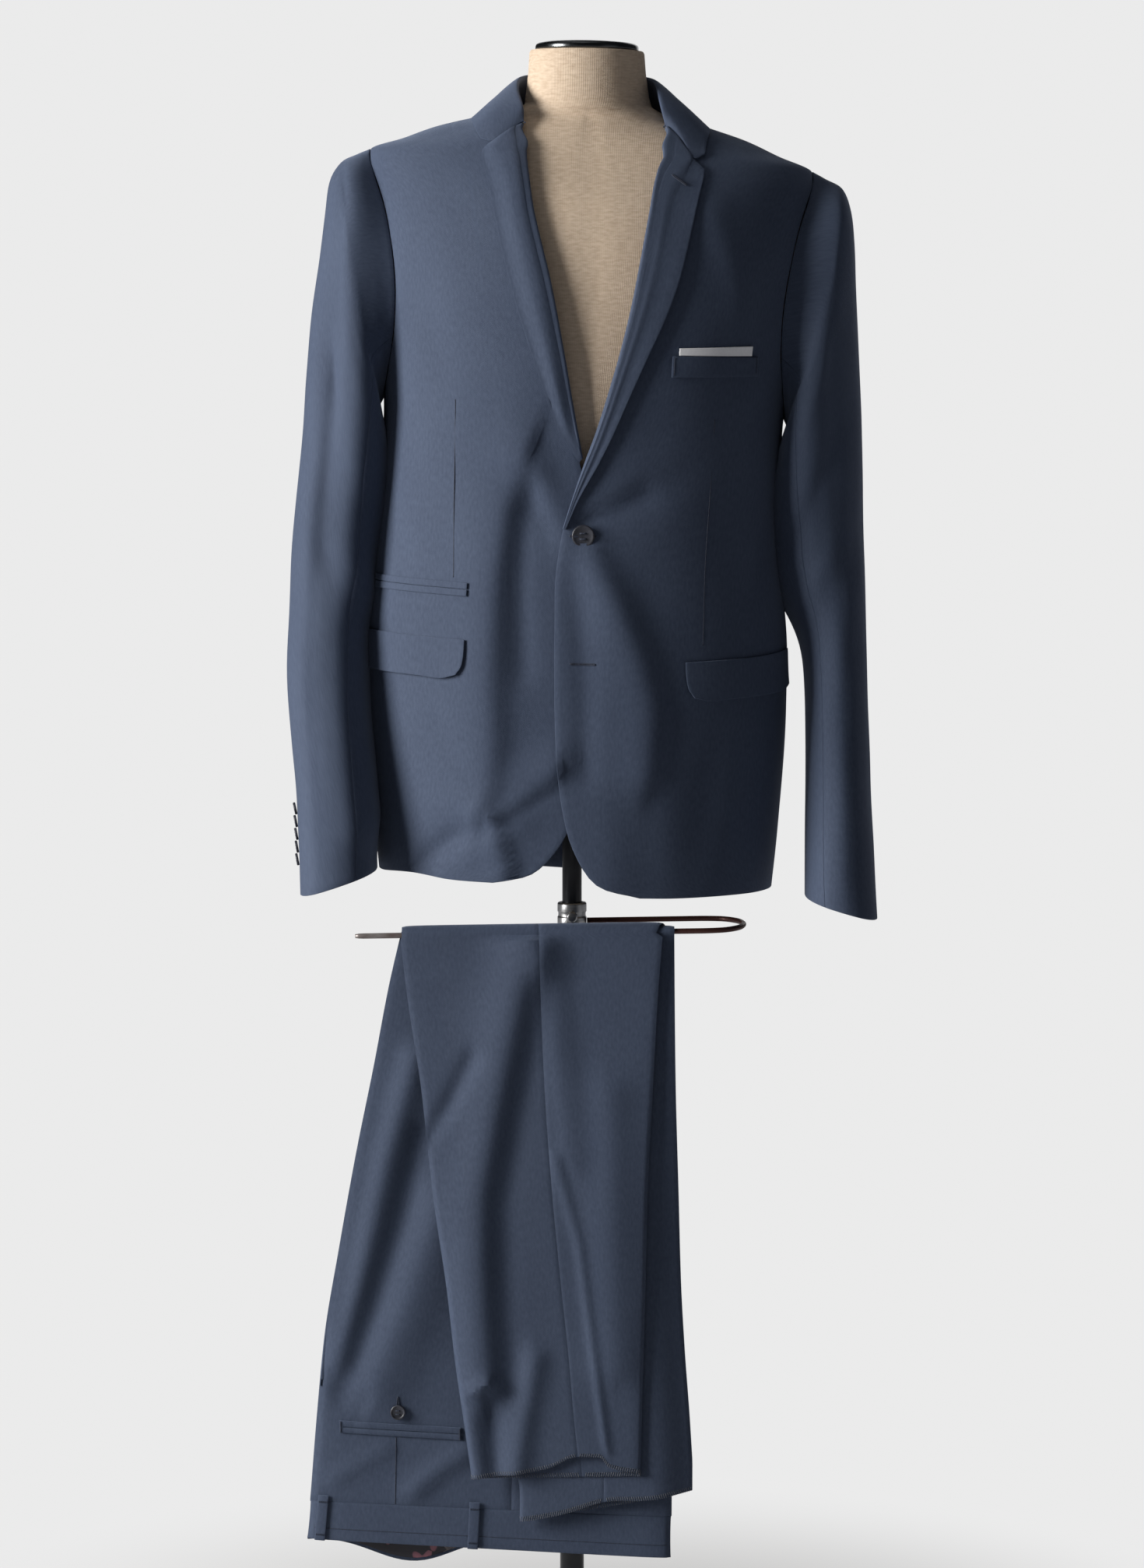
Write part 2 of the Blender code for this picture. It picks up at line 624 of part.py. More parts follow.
def front_grid(side):
    scale = (0.15, 1.0)
    cut = trace(on_front(CUTAWAY[side]), 4, scale)
    edge = trace(on_front(EDGE[side]), 5, scale)
    roll = trace(on_front(roll_inset(side)), 11, scale)
    neck_end = (math.pi / 2, NECK_Z)
    neck = trace([tuple(roll[-1]), (math.radians(52), 1.4790), neck_end], 3, scale)
    left = joined(cut, edge, roll, neck)
    seam, _ = side_seams(side)
    arm = arm_curve(0, 7)[::-1]
    right = joined(seam, arm)
    hem = hem_curve(side, math.degrees(left[0][0]), 80, HEM_CELLS)
    hem[0] = left[0]
    hem[-1] = right[0]
    z = np.linspace(NECK_Z, SHOULDER_Z, HEM_CELLS + 1)
    top = np.column_stack([np.full(HEM_CELLS + 1, math.pi / 2), z])
    top[0] = left[-1]
    top[-1] = right[-1]
    return panel(hem, top, left, right)


def side_grid(side):
    fore, aft = side_seams(side)
    hem = hem_curve(side, 80, 112, 4)
    hem[0] = fore[0]
    hem[-1] = aft[0]
    return panel(hem, arm_curve(7, 11), fore, aft)


def back_grid(side):
    """Back panel: its top is the shoulder seam followed by the back neck."""
    _, seam = side_seams(side)
    left = joined(seam, arm_curve(11, 18))
    low = through(HEM[side], 1, 180)
    z = left[:, 1]
    climb = (z - z[0]) / (SHOULDER_Z - z[0])
    z = low + (SHOULDER_Z - low) * climb + (BACK_NECK_Z - SHOULDER_Z) * ease((z - 1.24) / 0.23) / 0.95
    centre = np.column_stack([np.full(len(z), math.pi), z])
    centre[-1, 1] = BACK_NECK_Z
    hem = hem_curve(side, 112, 180, BACK_CELLS)
    hem[0] = left[0]
    neck = trace([(math.pi / 2, NECK_Z), (math.radians(130), 1.4825), (math.pi, BACK_NECK_Z)], 3)
    z = np.linspace(SHOULDER_Z, NECK_Z, BACK_CELLS - 2)
    shoulder = np.column_stack([np.full(BACK_CELLS - 2, math.pi / 2), z])
    return panel(hem, joined(shoulder, neck), left, centre)


def mirrored(pattern, side):
    """Pattern angles turned to the wearer's own side, columns kept running to the viewer's right."""
    g = pattern.copy()
    g[..., 0] = g[..., 0] * side
    return g if side > 0 else g[:, ::-1]


def cloth(name, pattern, side, look, sides="lrbt", low=-JACKET_WALL, high=0.0, lapped=0):
    """Wall of jacket cloth over a pattern grid."""
    g = mirrored(pattern, side)
    if side < 0:
        sides = sides.translate(str.maketrans("lr", "rl"))
    low = low if np.ndim(low) == 0 or side > 0 else low[:, ::-1]
    high = high if np.ndim(high) == 0 or side > 0 else high[:, ::-1]
    shape = g.shape[:2]
    outer = body(g[..., 0], g[..., 1], np.broadcast_to(high, shape), lapped)
    inner = body(g[..., 0], g[..., 1], np.broadcast_to(low, shape), lapped)
    outer = drawn_in(outer, SEAM, sides)
    inner = drawn_in(inner, SEAM, sides)
    return slab(name, settle(outer), settle(inner), look)


def jacket_body(look):
    for side, word in ((1, "left"), (-1, "right")):
        cloth("front_" + word, front_grid(side), side, look, "rt", lapped=side)
        cloth("side_panel_" + word, side_grid(side), side, look, "lrt")
        cloth("back_" + word, back_grid(side), side, look, "lrt")


# ------------------------------------------------------------------ sleeves


def sleeve_rings(side):
    """Rings of a sleeve from the armhole to the cuff."""
    turn = np.radians(20.0 * np.arange(ARM_CELLS + 1))
    arm = arm_curve(0, ARM_CELLS)
    head = body(arm[:, 0] * side, arm[:, 1], np.full(ARM_CELLS + 1, 0.00070))
    rows = [head]
    n = 2.5
    c = np.cos(turn)
    s = np.sin(turn)
    k = (np.abs(c) ** n + np.abs(s) ** n) ** (-1.0 / n)
    c = c * k
    s = s * k
    for oz, iz, ox, ix, cy, hd in SLEEVES[side]:
        x = side * ((ox + ix) / 2 + c * (ox - ix) / 2)
        y = cy - s * hd
        z = (oz + iz) / 2 + c * (oz - iz) / 2
        rows.append(np.stack([x, y, z], axis=-1))
    grid = np.stack(rows)
    grid[1] = 0.35 * grid[1] + 0.65 * (grid[0] + (grid[2] - grid[0]) * 0.42)
    grid[1, :, 0] = side * np.maximum(np.abs(grid[1, :, 0]), np.abs(grid[0, :, 0]) + 0.004)
    return grid


def sleeve_out(grid, side):
    """Outward directions of a sleeve grid."""
    around = np.empty_like(grid)
    around[:, 1:-1] = grid[:, 2:] - grid[:, :-2]
    around[:, 0] = grid[:, 1] - grid[:, -2]
    around[:, -1] = around[:, 0]
    along = np.gradient(grid, axis=0)
    out = np.cross(around, along) * side
    return out / np.linalg.norm(out, axis=-1, keepdims=True)


def sleeve_folds(grid, side):
    rings, turns = grid.shape[:2]
    j, i = np.meshgrid(np.arange(rings), np.arange(turns), indexing="ij")
    total = np.zeros((rings, turns))
    for t0, r0, t1, r1, spread, height in SLEEVE_FOLDS[side]:
        for wrap in (-ARM_CELLS, 0, ARM_CELLS):
            dt = t1 - t0
            dr = (r1 - r0) * 2.2
            t = ((i + wrap - t0) * dt + (j - r0) * 2.2 * dr) / (dt * dt + dr * dr)
            t = np.clip(t, 0, 1)
            far = (i + wrap - t0 - t * dt) ** 2 + ((j - r0) * 2.2 - t * dr) ** 2
            total += height * np.exp(-far / (1.6 * spread) ** 2)
    return total * np.minimum(1.0, j / 2.0)


def sleeves(look):
    for side, word in ((1, "left"), (-1, "right")):
        grid = sleeve_rings(side)
        out = sleeve_out(grid, side)
        out[0] = out[1]
        outer = grid + out * sleeve_folds(grid, side)[..., None]
        wall = JACKET_WALL
        inner = outer - out * wall
        for piece, first, last in (("top_sleeve_", -6, 6), ("under_sleeve_", 6, 12)):
            picks = [k % ARM_CELLS for k in range(first, last + 1)]
            a = outer[:, picks]
            b = inner[:, picks]
            a = drawn_in(a, SEAM, "lr")
            b = drawn_in(b, SEAM, "lr")
            if side > 0:
                a = a[::-1]
                b = b[::-1]
            slab(piece + word, settle(a), settle(b), look)
        cuff_buttons(side, word, outer, out)


def cuff_buttons(side, word, outer, out):
    """Five buttons touching one another above the cuff, each a hair apart from the next."""
    turn = CUFF_BUTTON_TURN[side]
    k = int(math.floor(turn))
    t = turn - k
    line = outer[:, k] * (1 - t) + outer[:, (k + 1) % ARM_CELLS] * t
    away = out[:, k] * (1 - t) + out[:, (k + 1) % ARM_CELLS] * t
    line = line[::-1]
    away = away[::-1]
    walk = np.concatenate([[0], np.cumsum(np.linalg.norm(np.diff(line, axis=0), axis=1))])
    for n in range(CUFF_BUTTONS):
        at = CUFF_BUTTON_START + CUFF_BUTTON_STEP * n
        spot = np.array([np.interp(at, walk, line[:, c]) for c in range(3)])
        way = np.array([np.interp(at, walk, away[:, c]) for c in range(3)])
        way = way / np.linalg.norm(way)
        tilt = way + np.array([0, 0, -0.14])
        spot = settle(spot + way * CUFF_BUTTON_LIFT)
        r = CUFF_BUTTON_RADIUS * 0.86
        profile = [(0, 0), (r * 0.9, 0), (r, 0.0008), (r * 0.93, 0.0020), (r * 0.7, 0.0015),
                   (0, 0.0014)]
        lathe("cuff_button_%s_%d" % (word, n + 1), profile, 12, BUTTON, frame_at(spot, tilt))


# ------------------------------------------------------------------ lapels and collar


def lapel_grid(side):
    scale = (0.15, 1.0)
    rows = 13
    roll = [p for p in ROLL[side] if p[1] > LAPEL_START[side] + 0.004]
    low = float(np.interp(LAPEL_START[side], [p[1] for p in ROLL[side]], [p[0] for p in ROLL[side]]))
    roll = [(low, LAPEL_START[side])] + roll
    left = trace(on_front(roll), rows, scale)
    right = trace(on_front(LAPEL_EDGE[side]), rows, scale)
    gorge = trace(on_front([roll[-1], NOTCH[side]]), 15, scale)
    step = trace(on_front([NOTCH[side], LAPEL_EDGE[side][-1]]), 7, scale)
    bottom = trace(np.array([left[0], right[0]]), 22, scale)
    return filled(bottom, joined(gorge, step), left, right)[:, [0, 2, 8, 15, 22]]


def lapels(look):
    for side, word in ((1, "left"), (-1, "right")):
        g = lapel_grid(side)
        z = g[..., 1]
        rise = ease((z - LAPEL_START[side]) / 0.05)
        puff = np.array([-0.0016, 0.0014, 0.0014, 0.0004, 0.0002])[None, :] * rise
        top_down = 1 - 0.75 * ease((z - 1.30) / 0.13)
        roll_puff = np.array([0.0, 0.0012, 0.0012, 0.0004, 0.0])[None, :] * rise * top_down
        gorge = 1 - 0.8 * ease((z - 1.425) / 0.02)
        low = 0.0005 + np.where(puff < 0, puff * gorge, puff) + roll_puff
        cloth("lapel_" + word, g, side, look, "t", low, low + 0.0016, lapped=side)


def collar_section(side, row):
    """Folded section of the collar: stand foot, stand, roll, leaf, leaf edge."""
    _, rx, ry, rz, edge_turn, edge_z, foot_turn, foot_z = row
    rise = min(1.0, max(0.0, (rz - 1.474) / 0.020))
    edge = body(math.radians(edge_turn), edge_z, np.asarray(0.0019))
    foot = body(math.radians(foot_turn), foot_z, np.asarray(-0.0008 + 0.0020 * (1 - rise)))
    roll = np.array([rx, ry, rz])
    stand = foot * 0.42 + roll * 0.58 + np.array([0, 0, -0.0010 * rise])
    near = roll + (edge - roll) * np.array([0.14, 0.14, 0.04]) + np.array([0, 0, 0.0006])
    middle = roll * 0.45 + edge * 0.55 + np.array([0, 0, 0.0036 * rise + 0.0006])
    pts = np.array([foot, stand, roll, near, middle, edge])
    pts[:, 0] *= side
    return pts


def collar(look):
    """Collar leaf and stand in one folded strip from notch to notch round the neck."""
    turns = np.linspace(0, 6, 10)
    right_half = []
    left_half = []
    for t in turns:
        row = [float(through(COLLAR, c, t)) for c in range(8)]
        right_half.append(collar_section(1, row))
        left_half.append(collar_section(-1, row))
    g = np.stack(right_half + left_half[::-1][1:])
    gorge_normals = {}
    for end, side in ((0, 1), (-1, -1)):
        gorge = trace(on_front([ROLL[side][-1], NOTCH[side]]), 15, (0.15, 1.0))
        start = gorge[0]
        tip = on_front([COLLAR_TIP[side]])[0]
        ends = [start + (-0.020, 0.0), start + (-0.010, 0.0), start, gorge[7], gorge[15], tip]
        lifts = [0.0014, 0.0018, 0.0022, 0.0024, 0.0022, 0.0019]
        line = np.array([body(a * side, z, np.asarray(lift)) for (a, z), lift in zip(ends, lifts)])
        high = np.array([body(a * side, z, np.asarray(lift + 0.01))
                         for (a, z), lift in zip(ends, lifts)])
        facing = high - line
        facing = facing / np.linalg.norm(facing, axis=-1, keepdims=True)
        upward = np.cross(facing, np.gradient(line, axis=0)) * side
        upward = upward / np.linalg.norm(upward, axis=-1, keepdims=True)
        away = GORGE_GAP * np.array([1.0, 1.0, 1.0, 1.0, 1.0, 0.0])
        g[end] = line + upward * away[:, None]
        gorge_normals[end] = facing
    along = np.gradient(g, axis=0)
    across = np.gradient(g, axis=1)
    out = np.cross(across, along)
    for end in (0, -1):
        out[end] = gorge_normals[end]
    out = out / np.linalg.norm(out, axis=-1, keepdims=True)
    half = COLLAR_WALL / 2
    slab("collar", settle(g + out * half), settle(g - out * half), look)


# ------------------------------------------------------------------ pockets and buttons of the jacket


def patch(corners, cols, rows):
    """Pattern grid between four (degrees, z) corners: low left, low right, top left, top right."""
    c = [(math.radians(a), z) for a, z in corners]
    bottom = trace([c[0], c[1]], cols)
    top = trace([c[2], c[3]], cols)
    left = trace([c[0], c[2]], rows)
    right = trace([c[1], c[3]], rows)
    return filled(bottom, top, left, right)


def pockets(look, silk):
    """Hip pocket flaps, the ticket pocket's jets, the breast welt and its square."""
    for side, word in ((1, "left"), (-1, "right")):
        front = FLAP_FRONT[side]
        low = front - FLAP_DEEP
        g = patch([(29.5, low), (77, FLAP_REAR - FLAP_DEEP), (29, front), (77, FLAP_REAR)], 7, 3)
        g[0, 0] = (math.radians(31.5), low + 0.0035)
        g[0, 1, 1] -= 0.0006
        g[0, -1, 1] += 0.0030
        g[1, 0, 0] = math.radians(29.8)
        hang = np.broadcast_to(np.array(FLAP_HANG)[:, None], g.shape[:2])
        cloth("pocket_flap_" + word, g, side, look, "", hang + 0.0004, hang + 0.0020)
    for name, bottom, top in TICKET_JETS:
        g = patch([(29, bottom), (68, bottom + TICKET_RISE), (29, top), (68, top + TICKET_RISE)], 6, 1)
        cloth(name, g, -1, look, "", 0.0007, 0.0020)

    def chest(z0, z1, z2, z3, x0, x1):
        a = [math.degrees(float(angle_at(x, z))) for x, z in ((x0, z0), (x1, z1), (x0, z2), (x1, z3))]
        return patch([(a[0], z0), (a[1], z1), (a[2], z2), (a[3], z3)], 5, 1)

    cloth("breast_welt", chest(*WELT), 1, look, "", 0.0007, 0.0026)
    cloth("pocket_square", chest(*SQUARE), 1, silk, "", 0.0008, 0.0024)


def button(name, x, z, radius, lift, side, tall=1.0):
    a = float(angle_at(x, z))
    spot = body(a, z, np.asarray(lift), side)
    ahead = body(a, z, np.asarray(lift + 0.01), side)
    base = settle(spot)
    way = settle(ahead) - base
    r = radius
    profile = [(0, 0), (r * 0.92, 0), (r, 0.0010 * tall), (r * 0.95, 0.0024 * tall),
               (r * 0.86, 0.0027 * tall), (r * 0.66, 0.0019 * tall), (0, 0.0018 * tall)]
    return lathe(name, profile, 20, BUTTON, frame_at(base, way))


def jacket_buttons():
    for name, x, z, radius, lift, side, tall in FRONT_BUTTONS:
        button(name, x, z, radius, lift, side, tall)


# ------------------------------------------------------------------ trousers


# Section of a folded leg from its seam to its crease: share of the way, share of the thickness
CREASE = [(0.0, 1.0), (0.42, 1.0), (0.80, 0.92), (0.96, 0.60), (1.0, 0.0)]


def bar_height(x):
    """The bar and all that hangs on it slope a little toward the free end."""
    return BAR_Z + BAR_SLOPE * (x + 0.02)


def hung(place, amount, x, n):
    """Point at distance n from the bar's line on the front fall, over the bar or on the back fall."""
    if place == "front":
        y = BAR_Y - n
        z = bar_height(x) - amount
    elif place == "over":
        y = BAR_Y - n * np.cos(amount)
        z = bar_height(x) + n * np.sin(amount)
    else:
        y = BAR_Y + n
        z = bar_height(x) - amount - WAIST_SKEW * (x + 0.24) * (amount / WAIST_DROP) ** 2
    return np.stack([x, y, z], axis=-1)


def fall_rows(front_drop):
    """Rows from the hem up, over the bar and down to the waist seam."""
    rows = [("front", float(d)) for d in np.linspace(front_drop, 0.030, 8)]
    rows.append(("front", 0.008))
    rows += [("over", math.pi * k / 4) for k in range(5)]
    rows.append(("back", 0.008))
    rows += [("back", float(d)) for d in np.linspace(0.030, WAIST_DROP, 10)]
    return rows


def leg_measure(leg, row):
    """Edges and seam of a folded leg at one row, the distance of its middle, its half thickness,
    how far the two legs have joined into the hip, and how far the hip stands open."""
    place, amount = row
    inner = leg == "inner"
    half = 0.0014
    middle = 0.0044 if inner else 0.0076
    seat = 0.0
    opening = 0.0
    cols = (4, 5, 6) if inner else (1, 2, 3)
    if place == "front":
        left, seam, right = [float(through(FRONT_FALL, c, amount)) for c in cols]
        swell = float(ease(amount / 0.30))
        half += 0.0016 * swell
        middle += (0.0018 if inner else 0.0052) * swell
    elif place == "over":
        t = amount / math.pi
        front = [float(through(FRONT_FALL, c, 0.0)) for c in cols]
        back = [float(through(BACK_FALL, c, 0.0)) for c in (1, 2, 3)]
        left, seam, right = [a * (1 - t) + b * t for a, b in zip(front, back)]
    else:
        left, seam, right = [float(through(BACK_FALL, c, amount)) for c in (1, 2, 3)]
        opening = float(through(BACK_FALL, 4, amount))
        swell = float(ease(amount / 0.30))
        seat = float(ease((amount - CROTCH_DROP) / (SEAT_DROP - CROTCH_DROP)))
        half += 0.0012 * swell
        middle += (0.0014 if inner else 0.0040) * swell
    if place != "front" and not inner:
        left += 0.0015 * (1 - seat)
        right -= 0.0060 * (1 - seat)
    return left, seam, right, middle, half, seat, opening


def mid_plane(amount):
    """Distance of the plane between the two legs on the back fall."""
    return 0.0060 + 0.0027 * float(ease(amount / 0.30))


def leg_section(leg, row, part, depth):
    """One panel's section from the side seam round the crease to the inseam, `depth` inside it."""
    left, seam, right, middle, half, seat, opening = leg_measure(leg, row)
    toward = -1.0 if leg == "inner" else 1.0
    edge = left if part == "back" else right
    inseam = seam + 0.004
    place, amount = row
    fold = middle
    if seat > 0:
        fold = middle * (1 - seat) + (mid_plane(amount) + toward * 0.0004) * seat
    xs = []
    ns = []
    inward = math.copysign(depth, seam - edge)
    for share, full in CREASE:
        x = seam + (edge - seam) * share
        face = middle + toward * (half - depth)
        if toward > 0:
            near = min(1.0, abs(x - edge) / 0.10)
            face += 2 * opening * math.sin(near * math.pi / 2)
        xs.append(x + inward * (share > 0.99))
        ns.append(fold + (face - fold) * full)
    for share, full in CREASE[::-1][1:]:
        xs.append(inseam + (edge - inseam) * share)
        ns.append(middle - toward * (half - depth) * full)
    xs = np.array(xs)
    amounts = np.full(len(xs), float(amount))
    if place == "front" and leg == "inner":
        amounts += (0.015 - 0.153 * (xs + 0.032)) * (amount / 0.527) ** 3
    if place == "front" and leg == "outer":
        lifted = 0.019 * np.exp(-((xs - 0.012) / 0.035) ** 2) * (amount / 0.502) ** 6
        amounts -= lifted * (np.arange(len(xs)) < len(CREASE))
    if place == "back" and leg == "outer":
        amounts += 0.024 * np.exp(-((xs + 0.150) / 0.055) ** 2) * seat * (amount / WAIST_DROP) ** 2
    return hung(place, amounts, xs, np.array(ns))


def trouser_panels(look):
    """Front and back of each leg; the wearer's left leg lies nearest the bar."""
    for leg, word in (("inner", "left"), ("outer", "right")):
        rows = fall_rows(HEM_DROP[leg])
        for part in ("back", "front"):
            outer = np.stack([leg_section(leg, r, part, 0.0) for r in rows])
            inner = np.stack([leg_section(leg, r, part, TROUSER_WALL) for r in rows])
            keep = np.ones((len(rows) - 1, outer.shape[1] - 1), bool)
            crease = len(CREASE) - 1
            for j, row in enumerate(rows[:-1]):
                if row[0] == "back" and rows[j + 1][1] > CROTCH_DROP:
                    deep = (rows[j + 1][1] - CROTCH_DROP) / (SEAT_DROP - CROTCH_DROP)
                    keep[j, crease + int(round((1 - min(1.0, deep)) * crease)):] = False
            outer = drawn_in(outer, SEAM, "lrt")
            inner = drawn_in(inner, SEAM, "lrt")
            if (part == "back") == (leg == "inner"):
                outer = outer[:, ::-1]
                inner = inner[:, ::-1]
                keep = keep[:, ::-1]
            slab("trouser_%s_%s" % (word, part), outer, inner, look, keep)


def band_section(leg, amount, depth):
    """Waistband section from the centre back (left) to the centre front (right)."""
    row = ("back", amount)
    back = leg_section(leg, row, "back", depth)[:len(CREASE)]
    front = leg_section(leg, row, "front", depth)[:len(CREASE)]
    return np.concatenate([back[::-1], front[1:]])


def waist(look, print_look):
    """Waistband halves, belt loops and the band's printed lining where it shows."""
    for leg, word in (("inner", "left"), ("outer", "right")):
        rows = [WAIST_DROP + 0.0006, BAND_DROP]
        outer = np.stack([band_section(leg, a, -0.0004) for a in rows])
        inner = np.stack([band_section(leg, a, 0.0012) for a in rows])
        outer = drawn_in(outer, SEAM, "lr")
        inner = drawn_in(inner, SEAM, "lr")
        slab("waistband_" + word, outer, inner, look)
        toward = -1.0 if leg == "inner" else 1.0
        for k, share in enumerate(LOOPS[leg]):
            faces = []
            for extra in (LOOP_WALL, 0.0):
                grid = []
                for a, lift in LOOP_PATH:
                    line = band_section(leg, a, -0.0009)
                    x = line[0, 0] + (line[-1, 0] - line[0, 0]) * share
                    pts = []
                    for dx in (-LOOP_WIDE / 2, LOOP_WIDE / 2):
                        at = [np.interp(x + dx, line[:, 0], line[:, c]) for c in range(3)]
                        at[1] += toward * (lift + extra)
                        pts.append(at)
                    grid.append(pts)
                faces.append(np.array(grid))
            slab("belt_loop_%s_%d" % (word, k + 1), faces[0], faces[1], look)
    rows = [WAIST_DROP + 0.002, BAND_DROP - 0.003]
    outer = np.stack([band_section("outer", a, 0.0016)[3:-3] for a in rows])
    inner = np.stack([band_section("outer", a, 0.0026)[3:-3] for a in rows])
    slab("waistband_lining", outer, inner, print_look)


def hip_spot(leg, x, drop, lift):
    """Point on the outside of the hip panels, lifted off them."""
    drops = [a for place, a in fall_rows(0.5) if place == "back"]
    k = int(np.clip(np.searchsorted(drops, drop) - 1, 0, len(drops) - 2))
    t = (drop - drops[k]) / (drops[k + 1] - drops[k])
    low = band_section(leg, drops[k], 0.0)
    high = band_section(leg, drops[k + 1], 0.0)
    a = np.array([np.interp(x, low[:, 0], low[:, c]) for c in range(3)])
    b = np.array([np.interp(x, high[:, 0], high[:, c]) for c in range(3)])
    at = a * (1 - t) + b * t
    at[1] += (-1.0 if leg == "inner" else 1.0) * lift
    return at


def back_pockets(look):
    """Jetted back pocket with its button on each side of the seat."""
    for leg, word in (("inner", "left"), ("outer", "right")):
        more = 0.0 if leg == "inner" else 0.0007
        cols = np.linspace(BACK_POCKET[0], BACK_POCKET[1], 6)
        middle = (BACK_POCKET[0] + BACK_POCKET[1]) / 2
        for k, (low, high) in enumerate(BACK_JETS):
            rows = []
            for lift in (0.0018 + more, 0.0006 + more):
                rows.append(np.array([[hip_spot(leg, x, d + BACK_POCKET_SLANT * (x - middle), lift)
                                       for x in cols] for d in (low, high)]))
            slab("back_pocket_jet_%s_%d" % (word, k + 1), rows[0], rows[1], look)
        toward = -1.0 if leg == "inner" else 1.0
        spot = hip_spot(leg, BACK_BUTTON[0], BACK_BUTTON[1], 0.0009)
        r = BACK_BUTTON_RADIUS
        profile = [(0, 0), (r * 0.9, 0), (r, 0.0007), (r * 0.92, 0.0020), (r * 0.7, 0.0015),
                   (0, 0.0014)]
        lathe("back_pocket_button_" + word, profile, 14, BUTTON,
              frame_at(spot, (0.0, toward, 0.0)))


# ------------------------------------------------------------------ form and stand


def form_rings():
    """Rings of the linen torso inside the jacket, then the neck."""
    rows = []
    table = [(0.862, 0.014), (0.900, 0.012), (0.960, 0.013), (1.020, 0.013), (1.080, 0.011),
             (1.140, 0.010), (1.200, 0.010), (1.260, 0.010), (1.310, 0.010), (1.350, 0.009),
             (1.385, 0.0085), (1.410, 0.0084), (1.428, 0.0080), (1.4415, 0.0068), (1.452, 0.0058),
             (1.463, 0.0052), (1.474, 0.0055), (1.482, 0.0060)]
    turn = np.linspace(-math.pi, math.pi, 25)[:-1]
    for z, inset in table:
        rows.append(body(turn, np.full(24, z), np.full(24, -inset)))
    return turn, rows


def form(look):
    turn, rows = form_rings()
    for r in rows[:-6]:
        r[:, 2] = np.mean(r[:, 2])
    neck = [(1.490, 0.0580, 0.0520), (1.500, 0.0560, 0.0530), (1.520, 0.0535, 0.0520),
            (1.5375, 0.0523, 0.0510), (1.5395, 0.0512, 0.0500)]
    for z, wide, deep in neck:
        rows.append(np.stack([wide * np.sin(turn), -deep * np.cos(turn), np.full(24, z)], axis=-1))
    points = [settle(r) for r in rows]
    count = len(points)
    low = points[0].mean(axis=0)
    high = points[-1].mean(axis=0)
    pts = np.concatenate(points + [[low], [high]])
    faces = []
    for j in range(count - 1):
        for i in range(24):
            a = j * 24 + i
            b = j * 24 + (i + 1) % 24
            c = b + 24
            d = a + 24
            faces += [(a, b, c), (a, c, d)]
    for i in range(24):
        faces.append((24 * count, (i + 1) % 24, i))
        top = (count - 1) * 24
        faces.append((24 * count + 1, top + i, top + (i + 1) % 24))
    solid("dress_form", pts, faces, look)


def neck_cap(look):
    """Turned metal cap that closes the form's neck."""
    top = settle(np.array([0.0, 0.0, CAP_Z]))
    lean = settle(np.array([0.01, 0.0, CAP_Z])) - top
    out = np.cross(lean, np.array([0.0, 1.0, 0.0]))
    profile = [(0, 0), (0.0462, 0), (0.0470, 0.0012), (0.0466, 0.0050), (0.0440, 0.0066),
               (0.0300, 0.0080), (0, 0.0086)]
    lathe("neck_cap", profile, 28, look, frame_at(top, out, (0.0, 1.0, 0.0)))


def stand(steel, black):
    """Weighted base with its boss, the tube and rod of the pole, the bar's clamp and screw."""
    lathe("base_plate", [(0, 0), (BASE_RADIUS - 0.002, 0), (BASE_RADIUS, 0.002),
                         (BASE_RADIUS, BASE_HEIGHT - 0.004), (BASE_RADIUS - 0.004, BASE_HEIGHT),
                         (0, BASE_HEIGHT)], 40, black)
    z = BASE_HEIGHT + SEAM
    hole = TUBE_RADIUS + SEAM
    ring_solid("base_boss", hole, [(0.030, z), (0.030, z + 0.010), (0.020, z + 0.030),
                                   (0.0165, z + 0.052)], black)
    lathe("lower_tube", [(0, z), (TUBE_RADIUS, z), (TUBE_RADIUS, CLAMP_LOW - SEAM),
                         (0, CLAMP_LOW - SEAM)], 24, black)
    lathe("upper_rod", [(0, CLAMP_LOW), (ROD_RADIUS, CLAMP_LOW), (ROD_RADIUS, ROD_TOP),
                        (0, ROD_TOP)], 24, black)
    ring_solid("bar_clamp", ROD_RADIUS + SEAM,
               [(CLAMP_RADIUS - 0.001, CLAMP_LOW), (CLAMP_RADIUS, CLAMP_LOW + 0.001),
                (CLAMP_RADIUS, CLAMP_HIGH - 0.001), (CLAMP_RADIUS - 0.001, CLAMP_HIGH)], steel)
    lathe("clamp_screw", [(0, 0), (0.0022, 0), (0.0022, 0.0050), (0.0046, 0.0054),
                          (0.0050, 0.0100), (0.0040, 0.0118), (0, 0.0118)], 14, steel,
          frame_at((0.0, -CLAMP_RADIUS - SEAM, (CLAMP_LOW + CLAMP_HIGH) / 2), (0.0, -1.0, 0.0)))


def ring_solid(name, bore, profile, look):
    """Bored solid of revolution: outer profile rows (radius, z) rising."""
    cells = 24
    rows = [(bore, profile[0][1])] + list(profile) + [(bore, profile[-1][1])]
    turn = 2 * math.pi * np.arange(cells) / cells
    pts = np.concatenate([np.stack([r * np.cos(turn), r * np.sin(turn), np.full(cells, z)], axis=-1)
                          for r, z in rows])
    count = len(rows)
    faces = []
    for j in range(count):
        n = (j + 1) % count
        for i in range(cells):
            k = (i + 1) % cells
            faces.append((j * cells + i, j * cells + k, n * cells + k, n * cells + i))
    solid(name, pts, faces, look)


